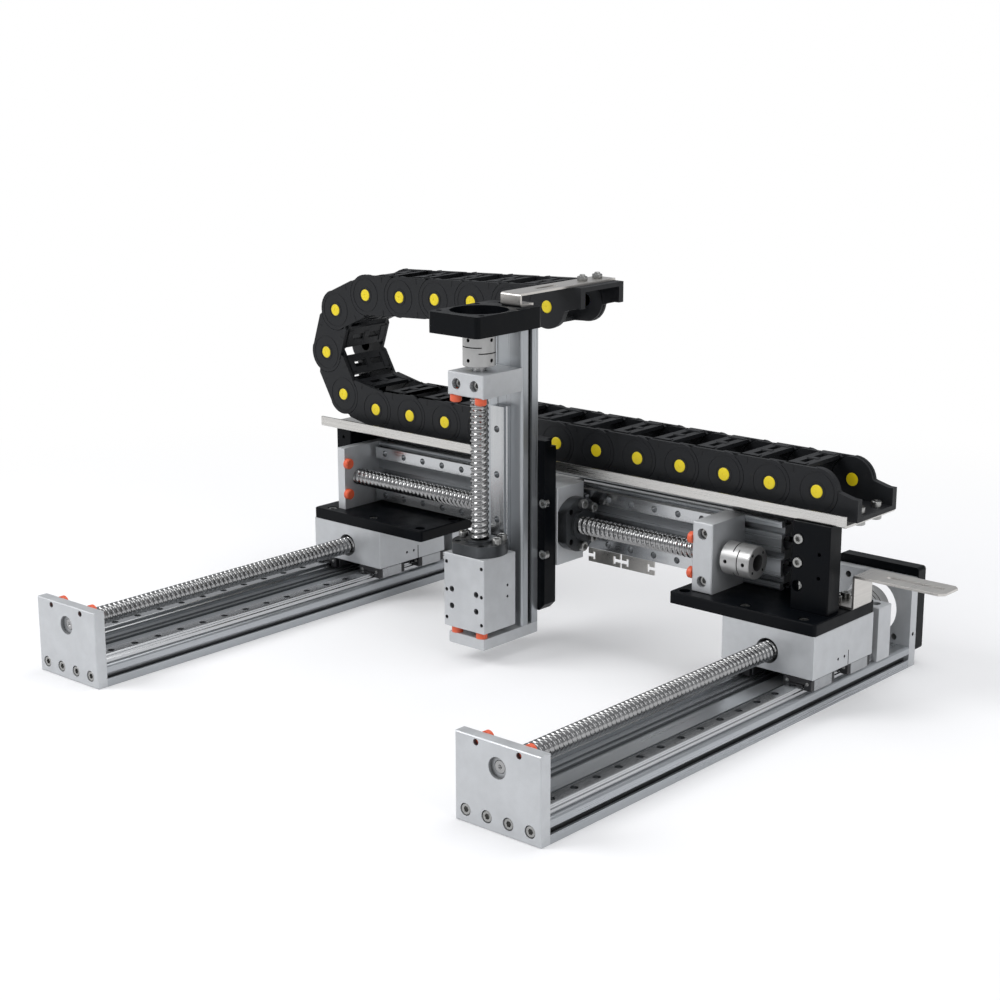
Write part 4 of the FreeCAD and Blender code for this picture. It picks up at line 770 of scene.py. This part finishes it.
def links(prefix, body, numbers, inset=0.0, replaced=(), pin_replaced=()):
    """Links with their pins; the first of each also stands for the plain nodes."""
    made = []
    for i in numbers:
        first = i == numbers[0]
        made.append(link_shape(inset).place(
            f"{prefix}_link_{i}", link_matrix(i), chain_mat, body, "chain_plastic",
            edge=0.0 if inset else 0.25, replaces=replaced if first else ()))
        made.append(cap_shape(inset).place(
            f"{prefix}_pins_{i}", link_matrix(i), yellow, body, "cap_yellow", smooth=True,
            replaces=pin_replaced if first else ()))
    return made


def squash_from(pieces):
    """Pieces at the loop's ends each get a mesh of their own."""
    for piece in pieces:
        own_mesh(piece)


loop_at = LOWER_LINKS
upper_at = loop_at + len(LOOP_TURNS)
end_at = upper_at + UPPER_LINKS
lower = links("lower", "bridge", range(loop_at), replaced=("chain_links_lower",),
              pin_replaced=("chain_pins_lower",))
links("loop", "chain_loop", range(loop_at, upper_at), replaced=("chain_links_loop",),
      pin_replaced=("chain_pins_loop",))
upper = links("upper", "cross_slide", range(upper_at, end_at), replaced=("chain_links_upper",),
              pin_replaced=("chain_pins_upper",))
cap_shape(0.0).place(f"upper_pins_{end_at}", Matrix.Translation(pivot_places[end_at]), yellow,
                     "cross_slide", "cap_yellow", smooth=True)
links("nested", "chain_loop", [loop_at - 2, loop_at - 1, upper_at, upper_at + 1], NEST_GAP)
squash_from(lower[-2:])
squash_from(upper[:2])


# Studio

FLOOR_HALF = 12.0           # metres, like the lamps' places and sizes
FLOOR_Z = -0.0002           # just under the modules, so that the faces don't meet
floor_mesh = bpy.data.meshes.new("floor")
floor_mesh.from_pydata([(x * FLOOR_HALF, y * FLOOR_HALF, FLOOR_Z)
                        for x, y in ((-1, -1), (1, -1), (1, 1), (-1, 1))], [], [[0, 1, 2, 3]])
floor = bpy.data.objects.new("floor", floor_mesh)
bpy.context.scene.collection.objects.link(floor)


def paper():
    """Pale floor that keeps the shadows near the object and runs out to plain white."""
    m = bpy.data.materials.new("floor_paper")
    t, out = new_tree(m, "ShaderNodeOutputMaterial")
    sheet = node(t, "ShaderNodeBsdfDiffuse", Color=(0.80, 0.80, 0.81, 1)).outputs["BSDF"]
    lift = node(t, "ShaderNodeEmission", Color=(1, 1, 1, 1), Strength=0.22).outputs["Emission"]
    white = node(t, "ShaderNodeEmission", Color=(1, 1, 1, 1), Strength=1.0).outputs["Emission"]
    near = t.nodes.new("ShaderNodeAddShader")
    feed(t, sheet, near.inputs[0])
    feed(t, lift, near.inputs[1])
    coords = t.nodes.new("ShaderNodeTexCoord")
    distance = t.nodes.new("ShaderNodeVectorMath")
    distance.operation = "LENGTH"
    feed(t, coords.outputs["Object"], distance.inputs[0])
    fade = node(t, "ShaderNodeMapRange", Value=distance.outputs["Value"], From_Min=0.5, From_Max=1.1)
    fade.interpolation_type = "SMOOTHSTEP"
    shown = mix_shaders(t, fade.outputs["Result"], near.outputs["Shader"], white)
    path = t.nodes.new("ShaderNodeLightPath")
    seen = worked_out(t, "MAXIMUM", path.outputs["Is Camera Ray"], path.outputs["Is Glossy Ray"])
    feed(t, mix_shaders(t, seen, sheet, shown), out.inputs["Surface"])
    return m


floor_mesh.materials.append(paper())


def studio_world():
    """White for the camera, and a soft fill that is brighter from above."""
    world = bpy.data.worlds.new("studio")
    t, out = new_tree(world, "ShaderNodeOutputWorld")
    coords = t.nodes.new("ShaderNodeTexCoord")
    upright = node(t, "ShaderNodeMapping", Vector=coords.outputs["Generated"],
                   Rotation=(0, math.radians(-90), 0))
    height = node(t, "ShaderNodeTexGradient", Vector=upright.outputs["Vector"])
    sky = color_ramp(t, height.outputs["Fac"], (0.0, (0.55, 0.56, 0.58)), (0.8, (1, 1, 1)))
    fill = node(t, "ShaderNodeBackground", Color=sky, Strength=0.75)
    back = node(t, "ShaderNodeBackground", Color=(1, 1, 1, 1), Strength=1.0)
    path = t.nodes.new("ShaderNodeLightPath")
    feed(t, mix_shaders(t, path.outputs["Is Camera Ray"], fill.outputs["Background"],
                        back.outputs["Background"]), out.inputs["Surface"])
    return world


bpy.context.scene.world = studio_world()


def area_light(name, place, size_x, size_y, power):
    """Soft lamp turned to the middle of the machine."""
    data = bpy.data.lights.new(name, "AREA")
    data.shape = "RECTANGLE"
    data.size = size_x
    data.size_y = size_y
    data.energy = power
    obj = bpy.data.objects.new(name, data)
    bpy.context.scene.collection.objects.link(obj)
    obj.location = place
    obj.rotation_euler = (Vector((0, 0, 0.1)) - Vector(place)).to_track_quat("-Z", "Y").to_euler()


area_light("key", (-1.3, -1.6, 1.9), 1.4, 1.4, 34)
area_light("side", (2.0, -0.4, 1.1), 1.0, 1.4, 7)
area_light("top", (0.1, 0.5, 2.1), 1.6, 1.6, 16)

# Camera at the photo's angle
YAW = math.radians(41.176)
TILT = math.radians(14.354)
ROLL = math.radians(-0.091)
CAMERA_AT = (1060.01, -934.04, 554.71)
FOCAL = 1.95224             # focal length in widths of the picture
SENSOR = 36.0
back_way = Vector((math.sin(YAW) * math.cos(TILT), -math.cos(YAW) * math.cos(TILT), math.sin(TILT)))
right = (-back_way).cross(Vector((0, 0, 1))).normalized()
up = right.cross(-back_way).normalized()
cam_data = bpy.data.cameras.new("camera")
cam_data.sensor_width = SENSOR
cam_data.lens = FOCAL * SENSOR
cam_data.clip_start = 0.05
camera = bpy.data.objects.new("camera", cam_data)
bpy.context.scene.collection.objects.link(camera)
turn = Matrix((right, up, back_way)).transposed().to_4x4()
camera.matrix_world = Matrix.Translation(at(*CAMERA_AT)) @ turn @ Matrix.Rotation(ROLL, 4, "Z")
bpy.context.scene.camera = camera
bpy.context.scene.view_settings.view_transform = "Standard"
